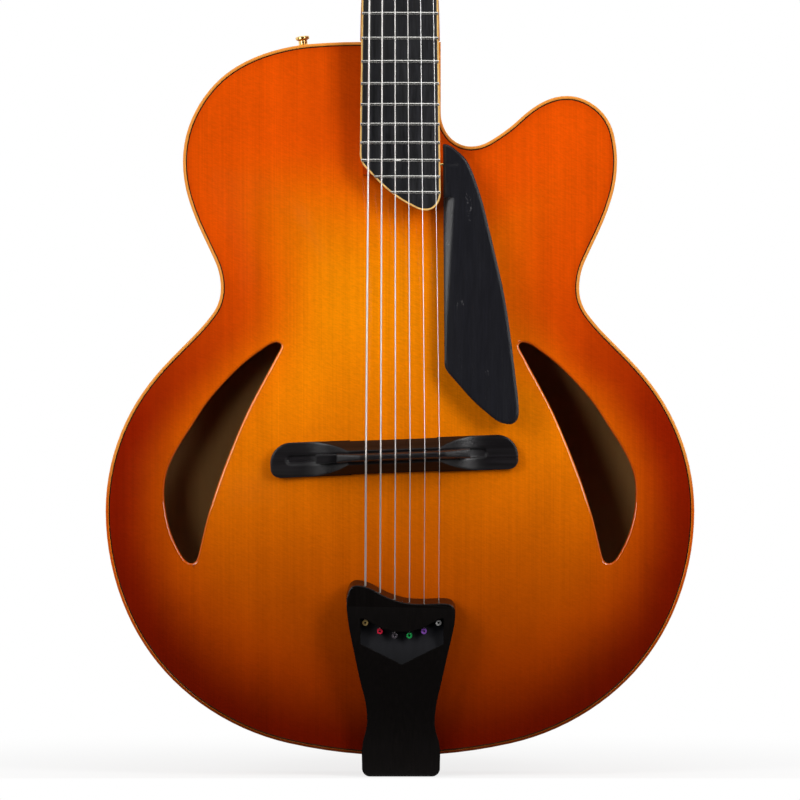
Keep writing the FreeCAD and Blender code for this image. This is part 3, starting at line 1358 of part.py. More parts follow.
def make_strap_buttons():
    seat, normal = button_place()
    place = FreeCAD.Placement(seat.add(V(normal).multiply(D.tail_seat)), FreeCAD.Rotation(Y_AXIS, normal))
    turned_body("strap_button", [
        (0, -D.button_screw_length), (D.button_screw_radius, -D.button_screw_length),
        (D.button_screw_radius, 0), (0.8 * D.button_radius, 0),
        (0.8 * D.button_radius, 0.13 * D.button_length),
        (D.button_waist, 0.27 * D.button_length), (D.button_waist, 0.6 * D.button_length),
        (D.button_radius, 0.73 * D.button_length), (D.button_radius, 0.93 * D.button_length),
        (0.8 * D.button_radius, D.button_length), (0, D.button_length),
    ], place)
    seat = V(0, D.end_pin_level, TAIL_Z)
    place = FreeCAD.Placement(seat, FreeCAD.Rotation(Y_AXIS, Z_AXIS.negative()))
    turned_body("end_pin", [
        (0, -D.end_pin_shank_length), (D.end_pin_shank, -D.end_pin_shank_length), (D.end_pin_shank, 0),
        (0.9 * D.end_pin_radius, 0), (0.9 * D.end_pin_radius, 0.14 * D.end_pin_length),
        (D.end_pin_waist, 0.28 * D.end_pin_length), (D.end_pin_waist, 0.62 * D.end_pin_length),
        (D.end_pin_radius, 0.75 * D.end_pin_length), (D.end_pin_radius, 0.93 * D.end_pin_length),
        (0.75 * D.end_pin_radius, D.end_pin_length), (0, D.end_pin_length),
    ], place)


# Tuning machines, in the frame of the headstock
GEAR_FRONT = D.headstock_thickness + D.gear_gap
WORM_LEVEL = GEAR_FRONT + D.gear_thickness / 2
WORM_DROP = D.gear_radius + D.worm_radius + D.worm_mesh_gap
HOUSING_BACK = GEAR_FRONT + D.gear_thickness + D.gear_gap + D.housing_wall


def housing_shape(side, out, up):
    """A cast shell, open towards the headstock, over the wheel and the worm."""
    half = D.housing_half
    low = -WORM_DROP - D.worm_radius - D.gear_gap - D.housing_wall
    shell = block(-half, half, D.headstock_thickness, HOUSING_BACK, low, half)
    rims = [edge for edge in shell.Edges if edge.BoundBox.YMax > D.headstock_thickness + 1]
    shell = shell.makeFillet(0.9 * D.housing_wall, rims)
    depth = HOUSING_BACK - D.housing_wall - D.headstock_thickness
    front = D.headstock_thickness
    shell = shell.cut(Part.makeCylinder(D.gear_radius + D.gear_gap, depth, V(0, front, 0), Y_AXIS))
    room = D.worm_radius + D.gear_gap
    inner = D.worm_length / 2 + D.gear_gap
    shell = shell.cut(block(-inner, inner, front, front + depth, -WORM_DROP - room, -WORM_DROP + room))
    bore = Part.makeCylinder(D.worm_shaft_radius + D.post_gap, FAR, V(0, WORM_LEVEL, -WORM_DROP), X_AXIS)
    shell = shell.cut(bore)
    if side < 0:
        shell = shell.mirror(V(0, 0, 0), X_AXIS)
    shell.translate(V(side * out, 0, up))
    return shell


def bushing_shape(side, out, up):
    """Sleeve with a six-sided collar on the face of the headstock."""
    front = -D.veneer_thickness
    sleeve = Part.makeCylinder(D.bushing_radius, D.bushing_length, V(0, front, 0), Y_AXIS)
    corners = [V(D.bushing_flange * math.cos(math.pi * k / 3), front - D.bushing_flange_height,
                 D.bushing_flange * math.sin(math.pi * k / 3)) for k in range(6)]
    collar = plate_face(polygon(corners)).extrude(V(0, D.bushing_flange_height, 0))
    hole = Part.makeCylinder(D.post_radius + D.post_gap, FAR, V(0, -FAR / 2, 0), Y_AXIS)
    made = sleeve.fuse(collar).cut(hole).removeSplitter()
    made.translate(V(side * out, 0, up))
    return made


def post_body(label, placement):
    """String post with a drawn-in waist, and the toothed wheel at its back end."""
    tip = -D.veneer_thickness - D.post_height
    wheel = D.headstock_thickness + D.gear_gap
    body = turned_body(label, [
        (0, tip), (0.75 * D.post_radius, tip), (D.post_radius, tip + 0.8), (D.post_radius, wheel),
        (D.gear_radius, wheel), (D.gear_radius, wheel + D.gear_thickness), (0, wheel + D.gear_thickness),
    ], placement)
    gap = 0.32 * D.gear_radius
    sketch = profile_sketch(body, label + "_gap", "XZ_Plane", [
        (-0.22 * gap, D.gear_radius - D.gear_tooth_depth), (0.22 * gap, D.gear_radius - D.gear_tooth_depth),
        (0.5 * gap, D.gear_radius * 1.1), (-0.5 * gap, D.gear_radius * 1.1),
    ])
    cut = body.newObject("PartDesign::Pocket", label + "_cut")
    cut.Profile = sketch
    cut.Type = 1
    cut.Midplane = True
    teeth = body.newObject("PartDesign::PolarPattern", label + "_teeth")
    teeth.Originals = [cut]
    teeth.Axis = (origin_item(body, "Y_Axis"), [""])
    teeth.Angle = 360
    teeth.Occurrences = GEAR_TEETH
    body.Tip = teeth
    return body


def worm_body(label, placement):
    """Worm with its grooves, on a shaft that runs out to the button."""
    half = D.worm_length / 2
    root = D.worm_radius - 0.7
    pitch = D.worm_length / 4
    points = [(-half, 0), (-half, root)]
    for turn in range(4):
        start = turn * pitch - half
        points += [(start + 0.25 * pitch, D.worm_radius), (start + 0.55 * pitch, D.worm_radius),
                   (start + 0.9 * pitch, root)]
    reach = D.button_reach - D.tuner_button_width + D.tuner_button_bore
    points += [(half, root), (half, D.worm_shaft_radius), (reach, D.worm_shaft_radius), (reach, 0)]
    return turned_body(label, points, placement, "H_Axis")


def tuner_button(label, placement):
    """Oval button, bored for the shaft."""
    oval = doc.addObject("Part::Ellipsoid", label + "_oval")
    oval.setExpression("Radius1", expression(D.tuner_button_height))
    oval.setExpression("Radius2", expression(D.tuner_button_width))
    oval.setExpression("Radius3", expression(D.tuner_button_thickness))
    bore = doc.addObject("Part::Cylinder", label + "_bore")
    bore.setExpression("Radius", expression(D.worm_shaft_radius))
    bore.setExpression("Height", expression(D.tuner_button_bore + D.tuner_button_width))
    turn = FreeCAD.Rotation(Y_AXIS, 90)
    bore.Placement = FreeCAD.Placement(V(-2 * D.tuner_button_width, 0, 0), turn)
    bore.setExpression("Placement.Base.x", expression(-2 * D.tuner_button_width))
    button = doc.addObject("Part::Cut", label)
    button.Base = oval
    button.Tool = bore
    button.Placement = placement
    PARTS.append(button)


def make_tuners():
    housings = []
    bushings = []
    for index in range(STRING_COUNT):
        side, out, up = post_place(index)
        number = STRING_COUNT - index
        housings.append(housing_shape(side, out, up))
        bushings.append(bushing_shape(side, out, up))
        facing = FreeCAD.Rotation(Z_AXIS, 0 if side > 0 else 180)
        upright = FreeCAD.Placement(V(side * out, 0, up), FreeCAD.Rotation())
        post_body("tuner_post_%d" % number, HEAD.multiply(upright))
        shaft = V(side * out, WORM_LEVEL, up - WORM_DROP)
        worm_body("tuner_worm_%d" % number, HEAD.multiply(FreeCAD.Placement(shaft, facing)))
        knob = shaft.add(V(side * D.button_reach, 0, 0))
        tuner_button("tuner_button_%d" % number, HEAD.multiply(FreeCAD.Placement(knob, facing)))
    add_shape("tuner_housings", Part.makeCompound(housings), HEAD)
    add_shape("tuner_bushings", Part.makeCompound(bushings), HEAD)


def build():
    make_plates()
    make_rims()
    make_blocks()
    make_linings()
    make_tone_bars()
    make_neck()
    make_truss_cover()
    make_fingerboard()
    make_nut()
    make_strings()
    make_bridge()
    make_tailpiece()
    make_pickguard()
    make_strap_buttons()
    make_tuners()
    doc.recompute()


def check_document():
    for item in doc.Objects:
        if "Invalid" in item.State or "Error" in item.State:
            raise RuntimeError("%s is %s" % (item.Label, item.State))
    for part in PARTS:
        if part.Shape.isNull() or not part.Shape.isValid():
            raise RuntimeError("%s has no valid shape" % part.Label)


def write_parts():
    os.makedirs("parts", exist_ok=True)
    for part in PARTS:
        part.Shape.exportStep("parts/%s.step" % part.Label)


build()
check_document()
write_parts()
print(len(PARTS), "parts written")
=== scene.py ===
"""Looks of the archtop guitar: finishes, the carved top's fine skin, light, floor and camera."""
import math

import bmesh
import bpy
import numpy as np
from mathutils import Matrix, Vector
from mathutils.geometry import delaunay_2d_cdt


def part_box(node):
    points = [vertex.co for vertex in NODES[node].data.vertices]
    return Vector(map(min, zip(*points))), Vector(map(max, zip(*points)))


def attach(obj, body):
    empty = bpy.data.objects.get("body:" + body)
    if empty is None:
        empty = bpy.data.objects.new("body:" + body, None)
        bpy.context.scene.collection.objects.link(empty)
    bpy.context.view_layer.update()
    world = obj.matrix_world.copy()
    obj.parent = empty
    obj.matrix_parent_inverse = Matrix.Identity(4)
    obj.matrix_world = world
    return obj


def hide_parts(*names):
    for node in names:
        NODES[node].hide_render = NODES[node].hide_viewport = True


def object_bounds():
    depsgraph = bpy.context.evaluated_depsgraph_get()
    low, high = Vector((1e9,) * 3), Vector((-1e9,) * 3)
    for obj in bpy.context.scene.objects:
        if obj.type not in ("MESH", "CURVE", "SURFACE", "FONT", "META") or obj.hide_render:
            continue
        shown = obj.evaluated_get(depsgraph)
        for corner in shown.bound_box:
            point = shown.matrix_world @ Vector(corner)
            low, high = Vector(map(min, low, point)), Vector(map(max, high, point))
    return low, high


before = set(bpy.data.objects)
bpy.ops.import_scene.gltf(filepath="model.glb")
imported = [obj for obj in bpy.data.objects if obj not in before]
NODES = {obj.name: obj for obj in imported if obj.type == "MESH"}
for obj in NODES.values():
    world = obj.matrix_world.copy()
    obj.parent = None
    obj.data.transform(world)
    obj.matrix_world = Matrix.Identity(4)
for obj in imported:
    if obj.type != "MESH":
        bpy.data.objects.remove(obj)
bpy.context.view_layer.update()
ROOT = "instrument"

# Places in metres: x to the treble side, y to the back, z up the neck
MM = 0.001
TAIL_Z, SHOULDER_Z = (corner[2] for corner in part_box("top_binding"))


def up(height):
    """A place in z, given in millimetres above the tail end of the body."""
    return TAIL_Z + height * MM


# Materials, with tints as linear red, green and blue
WHITE = (1.0, 1.0, 1.0, 1.0)
GRAIN_UP = (1.0, 1.0, 0.025)  # stretch for grain that runs up the neck
GRAIN_ACROSS = (0.025, 1.0, 1.0)  # stretch for grain that runs from side to side
SWAY_FROM, SWAY_TO = 0.3, 0.7  # the stretch of a noise where most of its values lie
PATCH_FROM, PATCH_TO = 0.35, 0.65  # a narrower one, for patches with clearer edges
BEVEL_SAMPLES = 6


class Look:
    """A material or world whose nodes are made by short calls."""

    def __init__(self, name, store=bpy.data.materials, coordinate="Object"):
        self.material = store.new(name)
        self.material.use_nodes = True
        self.tree = self.material.node_tree
        self.tree.nodes.clear()
        self.place = self.node("ShaderNodeTexCoord").outputs[coordinate]

    def node(self, kind, inputs=None, **settings):
        """A new node with its settings made and its inputs linked or filled in."""
        made = self.tree.nodes.new(kind)
        for key, value in settings.items():
            setattr(made, key, value)
        for key, value in (inputs or {}).items():
            if isinstance(value, bpy.types.NodeSocket):
                self.tree.links.new(value, made.inputs[key])
            else:
                made.inputs[key].default_value = value
        return made

    def math(self, operation, *values):
        return self.node("ShaderNodeMath", dict(enumerate(values)), operation=operation).outputs[0]

    def axes(self, vector):
        """The x, y and z of a vector."""
        return self.node("ShaderNodeSeparateXYZ", {0: vector}).outputs

    def stretched(self, x, y, z):
        """Coordinates scaled by axis: a small factor draws a pattern out along that axis."""
        return self.node("ShaderNodeMapping", {"Vector": self.place, "Scale": (x, y, z)}).outputs[0]

    def slanted(self, angle, lengths):
        """Coordinates turned in the plane of the top, then drawn out."""
        inputs = {"Vector": self.place, "Rotation": (0.0, angle, 0.0), "Scale": lengths}
        return self.node("ShaderNodeMapping", inputs, vector_type="TEXTURE").outputs[0]

    def noise(self, vector, scale, detail=3.0, roughness=0.5):
        inputs = {"Vector": vector, "Scale": scale, "Detail": detail, "Roughness": roughness}
        return self.node("ShaderNodeTexNoise", inputs).outputs["Fac"]

    def span(self, value, low, high, to_low=0.0, to_high=1.0, smooth=False):
        """A value between low and high carried over to another span, and held at its ends."""
        inputs = {"Value": value, "From Min": low, "From Max": high, "To Min": to_low, "To Max": to_high}
        kind = "SMOOTHSTEP" if smooth else "LINEAR"
        return self.node("ShaderNodeMapRange", inputs, interpolation_type=kind).outputs["Result"]

    def sway(self, noise, low, high):
        """A noise carried over to a span from low to high."""
        return self.span(noise, SWAY_FROM, SWAY_TO, low, high)

    def patches(self, noise, most=1.0):
        """A noise as patches that go from none to most."""
        return self.span(noise, PATCH_FROM, PATCH_TO, 0.0, most)

    def mix(self, factor, a, b):
        inputs = {0: factor, 6: colour(a), 7: colour(b)}
        return self.node("ShaderNodeMix", inputs, data_type="RGBA").outputs[2]

    def dimmed(self, tint, factor):
        """A tint times a factor."""
        return self.node("ShaderNodeVectorMath", {0: tint, "Scale": factor}, operation="SCALE").outputs[0]

    def bump(self, height, distance, strength, normal):
        inputs = {"Height": height, "Distance": distance, "Strength": strength, "Normal": normal}
        return self.node("ShaderNodeBump", inputs).outputs["Normal"]

    def rounded(self, radius):
        """A normal that rounds the edges off."""
        return self.node("ShaderNodeBevel", {"Radius": radius}, samples=BEVEL_SAMPLES).outputs["Normal"]

    def finish(self, **inputs):
        """The material with its surface set, an underscore standing for the space in an input's name."""
        named = {key.replace("_", " "): value for key, value in inputs.items()}
        shader = self.node("ShaderNodeBsdfPrincipled", named).outputs[0]
        self.node("ShaderNodeOutputMaterial", {"Surface": shader})
        return self.material


def colour(value):
    """A tint with its fourth number, or a socket as it is."""
    if isinstance(value, tuple) and len(value) == 3:
        return (*value, 1.0)
    return value


# The top's sunburst
BURST_EDGE = (0.26, 0.011, 0.0006)
BURST_ORANGE = (0.68, 0.072, 0.0007)
BURST_AMBER = (0.84, 0.235, 0.0009)


def burst_tint(look, x, z):
    """Red at the outline, orange inside it, and amber in the middle of the lower body, with less amber
    beside the pickguard as painted shade.
    """
    edge = look.node("ShaderNodeAttribute", attribute_name="edge").outputs["Fac"]
    wander = look.math("SUBTRACT", look.noise(look.place, 14.0), 0.5)
    edge = look.math("ADD", edge, look.math("MULTIPLY", wander, 12 * MM))
    upward = look.span(z, up(220), up(360), smooth=True)
    wide_edge = look.span(edge, 4 * MM, 60 * MM, smooth=True)
    slim_edge = look.span(edge, -12 * MM, 10 * MM, smooth=True)
    inner = look.math("ADD", look.math("MULTIPLY", wide_edge, look.math("SUBTRACT", 1.0, upward)),
                      look.math("MULTIPLY", slim_edge, upward))
    below_neck = look.span(z, up(320), up(430), 1.0, 0.0, smooth=True)
    above_tail = look.span(z, up(50), up(300), 0.05, 1.0)
    # Painted shade: less amber on the treble side beside the pickguard, where its shadow falls
    treble = look.math("MULTIPLY", look.span(x, 0.0, 80 * MM), look.span(z, up(250), up(310), 0.0, 0.6))
    amber = look.math("MULTIPLY", look.span(edge, 12 * MM, 85 * MM, smooth=True), below_neck)
    amber = look.math("MULTIPLY", amber, above_tail)
    amber = look.math("MULTIPLY", amber, look.math("SUBTRACT", 1.0, treble))
    return look.mix(amber, look.mix(inner, BURST_EDGE, BURST_ORANGE), BURST_AMBER)


def burst_light(look, x, z):
    """Darker towards the tail, partly the burst's own darkening and partly painted shade for light that
    falls off there, and darker beside the neck, with the grain, silk and clouds of spruce.
    """
    # Partly painted shade: the light's fall towards the tail is painted into the tint
    burst_dusk_and_painted_shade = look.span(z, TAIL_Z, up(300), 0.38, 1.0, smooth=True)
    near_middle = look.span(look.math("ABSOLUTE", x), 30 * MM, 90 * MM, 1.0, 0.0)
    beside_neck = look.math("MULTIPLY", near_middle, look.span(z, up(400), up(450), 0.0, 0.3))
    burst_dusk_and_painted_shade = look.math("SUBTRACT", burst_dusk_and_painted_shade, beside_neck)
    fine = look.noise(look.stretched(1.0, 0.0, 0.006), 850.0, 4.0, 0.7)
    wide = look.noise(look.stretched(1.0, 0.0, 0.012), 90.0, 3.0, 0.6)
    silk = look.noise(look.slanted(0.35, (3.0, 1.0, 0.75)), 800.0, 2.0, 0.6)
    cloud = look.noise(look.stretched(1.0, 0.0, 0.8), 22.0, 4.0, 0.6)
    grain = look.math("ADD", look.sway(fine, -0.09, 0.09), look.sway(wide, -0.06, 0.06))
    fleck = look.math("ADD", look.sway(silk, -0.08, 0.08), look.sway(cloud, -0.07, 0.07))
    return look.math("MULTIPLY", burst_dusk_and_painted_shade, look.math("ADD", 1.0, look.math("ADD", grain, fleck)))


def sunburst():
    """Spruce under a clear coat: amber in the middle, orange, then red-brown at the edge."""
    look = Look("sunburst_spruce")
    x, _, z = look.axes(look.place)
    tint = look.dimmed(burst_tint(look, x, z), burst_light(look, x, z))
    return look.finish(Base_Color=tint, Roughness=0.42, Specular_IOR_Level=0.0, Coat_Weight=1.0,
                       Coat_Roughness=0.035, Coat_IOR=1.5)


# The other woods
STRIP_DEEP = (0.46, 0.050, 0.002)
STRIP_BRIGHT = (0.60, 0.085, 0.003)
STRIP_PAINTED_FLANK_HIGHLIGHT = (0.90, 0.30, 0.012)
STRIP_PAINTED_GOLD_HIGHLIGHT = (0.86, 0.36, 0.06)
STRIP_ROUND = 1.6 * MM

EBONY_BASE = (0.0045, 0.0036, 0.0042)
EBONY_GREY = (0.016, 0.014, 0.016)
TAIL_BASE = (0.0026, 0.0020, 0.0018)
TAIL_GREY = (0.005, 0.0037, 0.0036)
SCUFF_GREY = (0.16, 0.155, 0.16)
PORE_DEPTH = 0.4 * MM
RECESS_PAINTED_LIGHT = (0.014, 0.014, 0.017)
RECESS_DARK = (0.004, 0.004, 0.005)


def lacquered_maple(name, dark, bright, along):
    """Figured maple: soft bars across the grain under a clear coat."""
    look = Look(name)
    bars = look.noise(look.stretched(*along), 60.0, 3.0, 0.6)
    pores = look.noise(look.stretched(1.0, 1.0, 0.03), 500.0)
    tint = look.mix(look.patches(bars), dark, bright)
    tint = look.mix(look.patches(pores, most=0.25), tint, dark)
    return look.finish(Base_Color=tint, Roughness=0.4, Coat_Weight=1.0, Coat_Roughness=0.05)


def binding_stain_and_painted_light():
    """A strip of wood stained like the top, with painted highlights: lighter amber on its flanks and
    golden higher up; darker at the tail, partly the stain and partly painted shade.
    """
    look = Look("binding_wood")
    z = look.axes(look.place)[2]
    grain = look.noise(look.place, 260.0, 3.0, 0.6)
    normal = look.rounded(STRIP_ROUND)
    facing = look.axes(normal)[1]
    tint = look.mix(grain, STRIP_DEEP, STRIP_BRIGHT)
    # Painted highlight: lighter amber where the rounded edge turns away from the front
    tint = look.mix(look.span(facing, -0.93, -0.78), tint, STRIP_PAINTED_FLANK_HIGHLIGHT)
    # Painted highlight: lighter and golden higher up
    tint = look.mix(look.span(z, up(165), up(225), 0.0, 0.7, smooth=True), tint, STRIP_PAINTED_GOLD_HIGHLIGHT)
    # Darker towards the tail: partly the stain, partly painted shade
    tint = look.dimmed(tint, look.span(z, TAIL_Z, up(160), 0.16, 1.0, smooth=True))
    return look.finish(Base_Color=tint, Roughness=0.35, Specular_IOR_Level=0.0, Coat_Weight=0.3,
                       Coat_Roughness=0.05, Normal=normal, Coat_Normal=normal)


def bare_wood(name, pale, deep):
    look = Look(name)
    grain = look.noise(look.stretched(1.0, 1.0, 0.04), 260.0, 4.0, 0.6)
    return look.finish(Base_Color=look.mix(grain, pale, deep), Roughness=0.75)


def ebony(name, base=EBONY_BASE, grey=EBONY_GREY, rough=0.24, along=GRAIN_UP, bevel=0.9 * MM,
          scuffs=0.0, shine=0.5):
    """Nearly black wood with fine straight pores and a hand-rubbed sheen."""
    look = Look(name)
    pores = look.noise(look.stretched(*along), 700.0, 4.0, 0.7)
    broad = look.noise(look.stretched(*along), 110.0, 3.0, 0.6)
    tint = look.mix(look.span(pores, 0.42, 0.72), base, grey)
    tint = look.mix(look.span(broad, 0.35, 0.7, 0.0, 0.6), tint, base)
    sheen = look.sway(broad, rough - 0.07, rough + 0.09)
    if scuffs:
        marks = look.noise(look.stretched(1.0, 1.0, 0.5), 75.0, 5.0, 0.75)
        tint = look.mix(look.span(marks, 0.66, 0.74, 0.0, scuffs), tint, SCUFF_GREY)
    normal = look.bump(pores, PORE_DEPTH, 0.12, look.rounded(bevel))
    return look.finish(Base_Color=tint, Roughness=sheen, Specular_IOR_Level=shine, Normal=normal)


def recessed_ebony():
    """The sunk floor of the tailpiece, dull, painted paler towards its upper end as painted light where
    the lip shades it, and darker towards its lower end.
    """
    look = Look("ebony_recess")
    z = look.axes(look.place)[2]
    pores = look.noise(look.stretched(1.0, 1.0, 0.1), 300.0, 4.0, 0.7)
    # Painted light: paler towards the upper end, where the lip shades the floor
    painted_light_fade = look.math("ADD", look.span(z, up(88), up(66)), look.sway(pores, -0.15, 0.15))
    tint = look.mix(painted_light_fade, RECESS_PAINTED_LIGHT, RECESS_DARK)
    return look.finish(Base_Color=tint, Roughness=0.4, Specular_IOR_Level=0.25)


# Metals and plastics
WINDING_PITCH = 0.3 * MM
WINDING_BRIGHT = (0.64, 0.62, 0.60)
WINDING_GROOVE_PAINTED_SHADE = (0.43, 0.41, 0.39)
BALL_ROUND = 0.4 * MM


def darker(tint, share):
    return tuple(share * part for part in tint)


def polished_metal(name, base, rough, bevel=0.35 * MM):
    look = Look(name)
    wear = look.noise(look.place, 900.0)
    tint = look.mix(look.span(wear, 0.4, 0.75, 0.0, 0.25), base, darker(base, 0.8))
    return look.finish(Base_Color=tint, Metallic=1.0, Roughness=look.sway(wear, rough, rough + 0.1),
                       Normal=look.rounded(bevel))


def wound_wire():
    """Round-wound wire: fine rings along the string, darker between the windings as painted shade."""
    look = Look("wound_wire")
    z = look.axes(look.place)[2]
    rings = look.math("SINE", look.math("MULTIPLY", z, 2 * math.pi / WINDING_PITCH))
    # Painted shade: darker rings where the grooves between the windings lie
    tint = look.mix(look.span(rings, -1.0, 1.0, 0.0, 0.5), WINDING_BRIGHT, WINDING_GROOVE_PAINTED_SHADE)
    return look.finish(Base_Color=tint, Metallic=1.0, Roughness=0.42)


def gloss_plastic(name, base, second, rough=0.2, bevel=0.3 * MM, shine=0.5):
    look = Look(name)
    tint = look.mix(look.patches(look.noise(look.place, 130.0)), base, second)
    return look.finish(Base_Color=tint, Roughness=rough, Specular_IOR_Level=shine,
                       Normal=look.rounded(bevel))


def ball_colour(name, base, metal):
    look = Look(name)
    wear = look.noise(look.place, 1500.0, 2.0)
    tint = look.mix(look.span(wear, 0.4, 0.8, 0.0, 0.4), base, darker(base, 0.6))
    return look.finish(Base_Color=tint, Metallic=metal, Roughness=0.25, Normal=look.rounded(BALL_ROUND))


# The finishes of this instrument
GOLD = polished_metal("gold_plate", (0.92, 0.60, 0.20), rough=0.14)
STEEL = polished_metal("plain_wire", (0.80, 0.79, 0.78), rough=0.28, bevel=0.05 * MM)
NICKEL = polished_metal("fret_metal", (0.64, 0.63, 0.60), rough=0.22, bevel=0.3 * MM)
WOUND = wound_wire()
EBONY = ebony("ebony", shine=0.2)
EBONY_ACROSS = ebony("ebony_bridge", rough=0.31, along=GRAIN_ACROSS, bevel=2.4 * MM, shine=0.34)
# Brown base colour: a painted reflection of the amber top on the bridge's steep sides
EBONY_FLANK_PAINTED_REFLECTION = ebony("ebony_flank_painted_reflection", base=(0.010, 0.0036, 0.0010), grey=(0.016, 0.006, 0.002), rough=0.55,
                    along=GRAIN_ACROSS, shine=0.1)
EBONY_GUARD = ebony("ebony_guard", base=(0.009, 0.009, 0.0115), grey=(0.013, 0.013, 0.017),
                    bevel=3.4 * MM, scuffs=0.7, shine=0.3)
EBONY_TAIL = ebony("ebony_tail", TAIL_BASE, TAIL_GREY, rough=0.2, bevel=1.6 * MM, shine=0.3)
EBONY_UNDER = ebony("ebony_under", TAIL_BASE, TAIL_GREY, rough=0.6, shine=0.05)
EBONY_RECESS = recessed_ebony()
EBONY_BOARD = ebony("ebony_board", base=(0.005, 0.0050, 0.0058), grey=(0.022, 0.022, 0.027), rough=0.34)
BINDING = binding_stain_and_painted_light()
MAPLE = lacquered_maple("flamed_maple", dark=(0.22, 0.035, 0.006), bright=(0.42, 0.095, 0.014),
                        along=(0.15, 0.15, 1.0))
NECK_MAPLE = lacquered_maple("neck_maple", dark=(0.28, 0.055, 0.010), bright=(0.46, 0.12, 0.02),
                             along=(0.2, 0.2, 1.0))
INSIDE = bare_wood("bare_wood", pale=(0.56, 0.31, 0.11), deep=(0.46, 0.24, 0.08))
CREAM = gloss_plastic("cream_binding", (0.78, 0.49, 0.16), (0.70, 0.42, 0.13))
BONE = gloss_plastic("bone", (0.80, 0.74, 0.60), (0.70, 0.63, 0.48))
BLACK_LINE = gloss_plastic("black_line", (0.014, 0.006, 0.003), (0.022, 0.010, 0.005), shine=0.1)
BLACK_KNOB = gloss_plastic("tuner_black", (0.010, 0.009, 0.010), (0.022, 0.020, 0.022), rough=0.12)
SPRUCE = sunburst()

# From the bass side to the treble side: name, tint and share of metal
BALL_ENDS = (
    ("brass", (0.95, 0.66, 0.25), 0.4),
    ("red", (0.75, 0.02, 0.06), 0.3),
    ("dark", (0.14, 0.12, 0.14), 0.6),
    ("green", (0.02, 0.42, 0.10), 0.4),
    ("purple", (0.30, 0.10, 0.55), 0.4),
    ("silver", (0.92, 0.91, 0.90), 0.4),
)

FINISHES = {
    "top_plate": SPRUCE, "back_plate": MAPLE, "bass_rim": MAPLE, "treble_rim": MAPLE,
    "neck_block": INSIDE, "tail_block": INSIDE, "tone_bars": INSIDE,
    "top_linings": INSIDE, "back_linings": INSIDE,
    "top_binding": BINDING, "back_binding": BINDING, "top_purfling": BLACK_LINE,
    "neck": NECK_MAPLE, "nut": BONE, "heel_cap": EBONY, "truss_rod": STEEL,
    "headstock_veneer": EBONY, "truss_rod_cover": EBONY,
    "fingerboard": EBONY_BOARD, "fingerboard_binding": CREAM, "frets": NICKEL,
    "bridge_base": EBONY_ACROSS, "bridge_wedge": EBONY_ACROSS, "bridge_saddle": EBONY_ACROSS,
    "tailpiece": EBONY_TAIL, "tailpiece_screws": GOLD,
    "pickguard": EBONY_GUARD, "pickguard_supports": GOLD,
    "strap_button": GOLD, "end_pin": EBONY,
    "tuner_housings": GOLD, "tuner_bushings": GOLD,
    "wound_strings": WOUND, "plain_strings": STEEL,
}
STRINGS = range(1, 7)
PLAIN_STRINGS = (1, 2)
for number in STRINGS:
    FINISHES["tuner_post_%d" % number] = GOLD
    FINISHES["tuner_worm_%d" % number] = GOLD
    FINISHES["tuner_button_%d" % number] = BLACK_KNOB
    FINISHES["string_winding_%d" % number] = STEEL if number in PLAIN_STRINGS else WOUND

# Dressing the CAD nodes
SHARP_ANGLE = math.radians(28)
BODY_MIDDLE_Z = up(250)
RECESS_FLOOR_Y = -28.5 * MM  # the floor of the tailpiece's recess lies behind this
RECESS_LOW_Z = up(63.5)  # and above this
TAIL_FOOT_Z = up(40)  # the tailpiece's foot and lower slope lie below this

# Limits of the parts of a face's unit normal, for choosing faces
BACK_INNER_Y = -0.5
RIM_INNER = 0.3
FLANK_STEEP_Z = 0.7
FLANK_FRONT_Y = -0.2
RECESS_FLAT_Y = -0.9
UNDERSIDE_Z = -0.06
STRIP_FRONT_Y = -0.7
HOLE_WALL_Y = 0.3


def dress_nodes():
    """Each CAD node gets its finish and smooth shading up to a sharp edge."""
    for name, node in NODES.items():
        mesh = node.data
        mesh.materials.clear()
        mesh.polygons.foreach_set("use_smooth", [True] * len(mesh.polygons))
        mesh.set_sharp_from_angle(angle=SHARP_ANGLE)
        if name in FINISHES:
            mesh.materials.append(FINISHES[name])


def dress_ball_ends():
    """The string ends are told apart by colour."""
    mesh = NODES["ball_ends"].data
    for name, base, metal in BALL_ENDS:
        mesh.materials.append(ball_colour("ball_" + name, base, metal))
    low, high = (corner[0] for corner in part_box("ball_ends"))
    count = len(BALL_ENDS)
    for face in mesh.polygons:
        share = (face.center.x - low) / (high - low)
        face.material_index = min(count - 1, int(count * share))


def dress_faces(name, finish, chosen):
    """The faces of a node that a test picks get a second finish."""
    mesh = NODES[name].data
    mesh.materials.append(finish)
    for face in mesh.polygons:
        face.material_index = int(chosen(face))


def faces_front(face):
    return face.normal.y < BACK_INNER_Y


def faces_inward(face):
    inward = Vector((-face.center.x, 0.0, BODY_MIDDLE_Z - face.center.z)).normalized()
    return face.normal.dot(inward) > RIM_INNER


def before_top(face):
    return face.center.y < 0.0 and face.center.z < SHOULDER_Z


def steep(face):
    return abs(face.normal.z) > FLANK_STEEP_Z and face.normal.y < FLANK_FRONT_Y


def dress_tailpiece():
    """The recess, the underside and the foot of the tailpiece are duller than its front."""
    mesh = NODES["tailpiece"].data
    mesh.materials.append(EBONY_RECESS)
    mesh.materials.append(EBONY_UNDER)
    for face in mesh.polygons:
        corners = [mesh.vertices[index].co for index in face.vertices]
        sunk = all(corner.y > RECESS_FLOOR_Y and corner.z > RECESS_LOW_Z for corner in corners)
        under = face.normal.z < UNDERSIDE_Z or face.center.z < TAIL_FOOT_Z
        face.material_index = 1 if sunk and face.normal.y < RECESS_FLAT_Y else 2 * int(under)


dress_nodes()
dress_tailpiece()
dress_ball_ends()
# Back and rims are bare wood where they face the air inside the body
dress_faces("back_plate", INSIDE, faces_front)
dress_faces("bass_rim", INSIDE, faces_inward)
dress_faces("treble_rim", INSIDE, faces_inward)
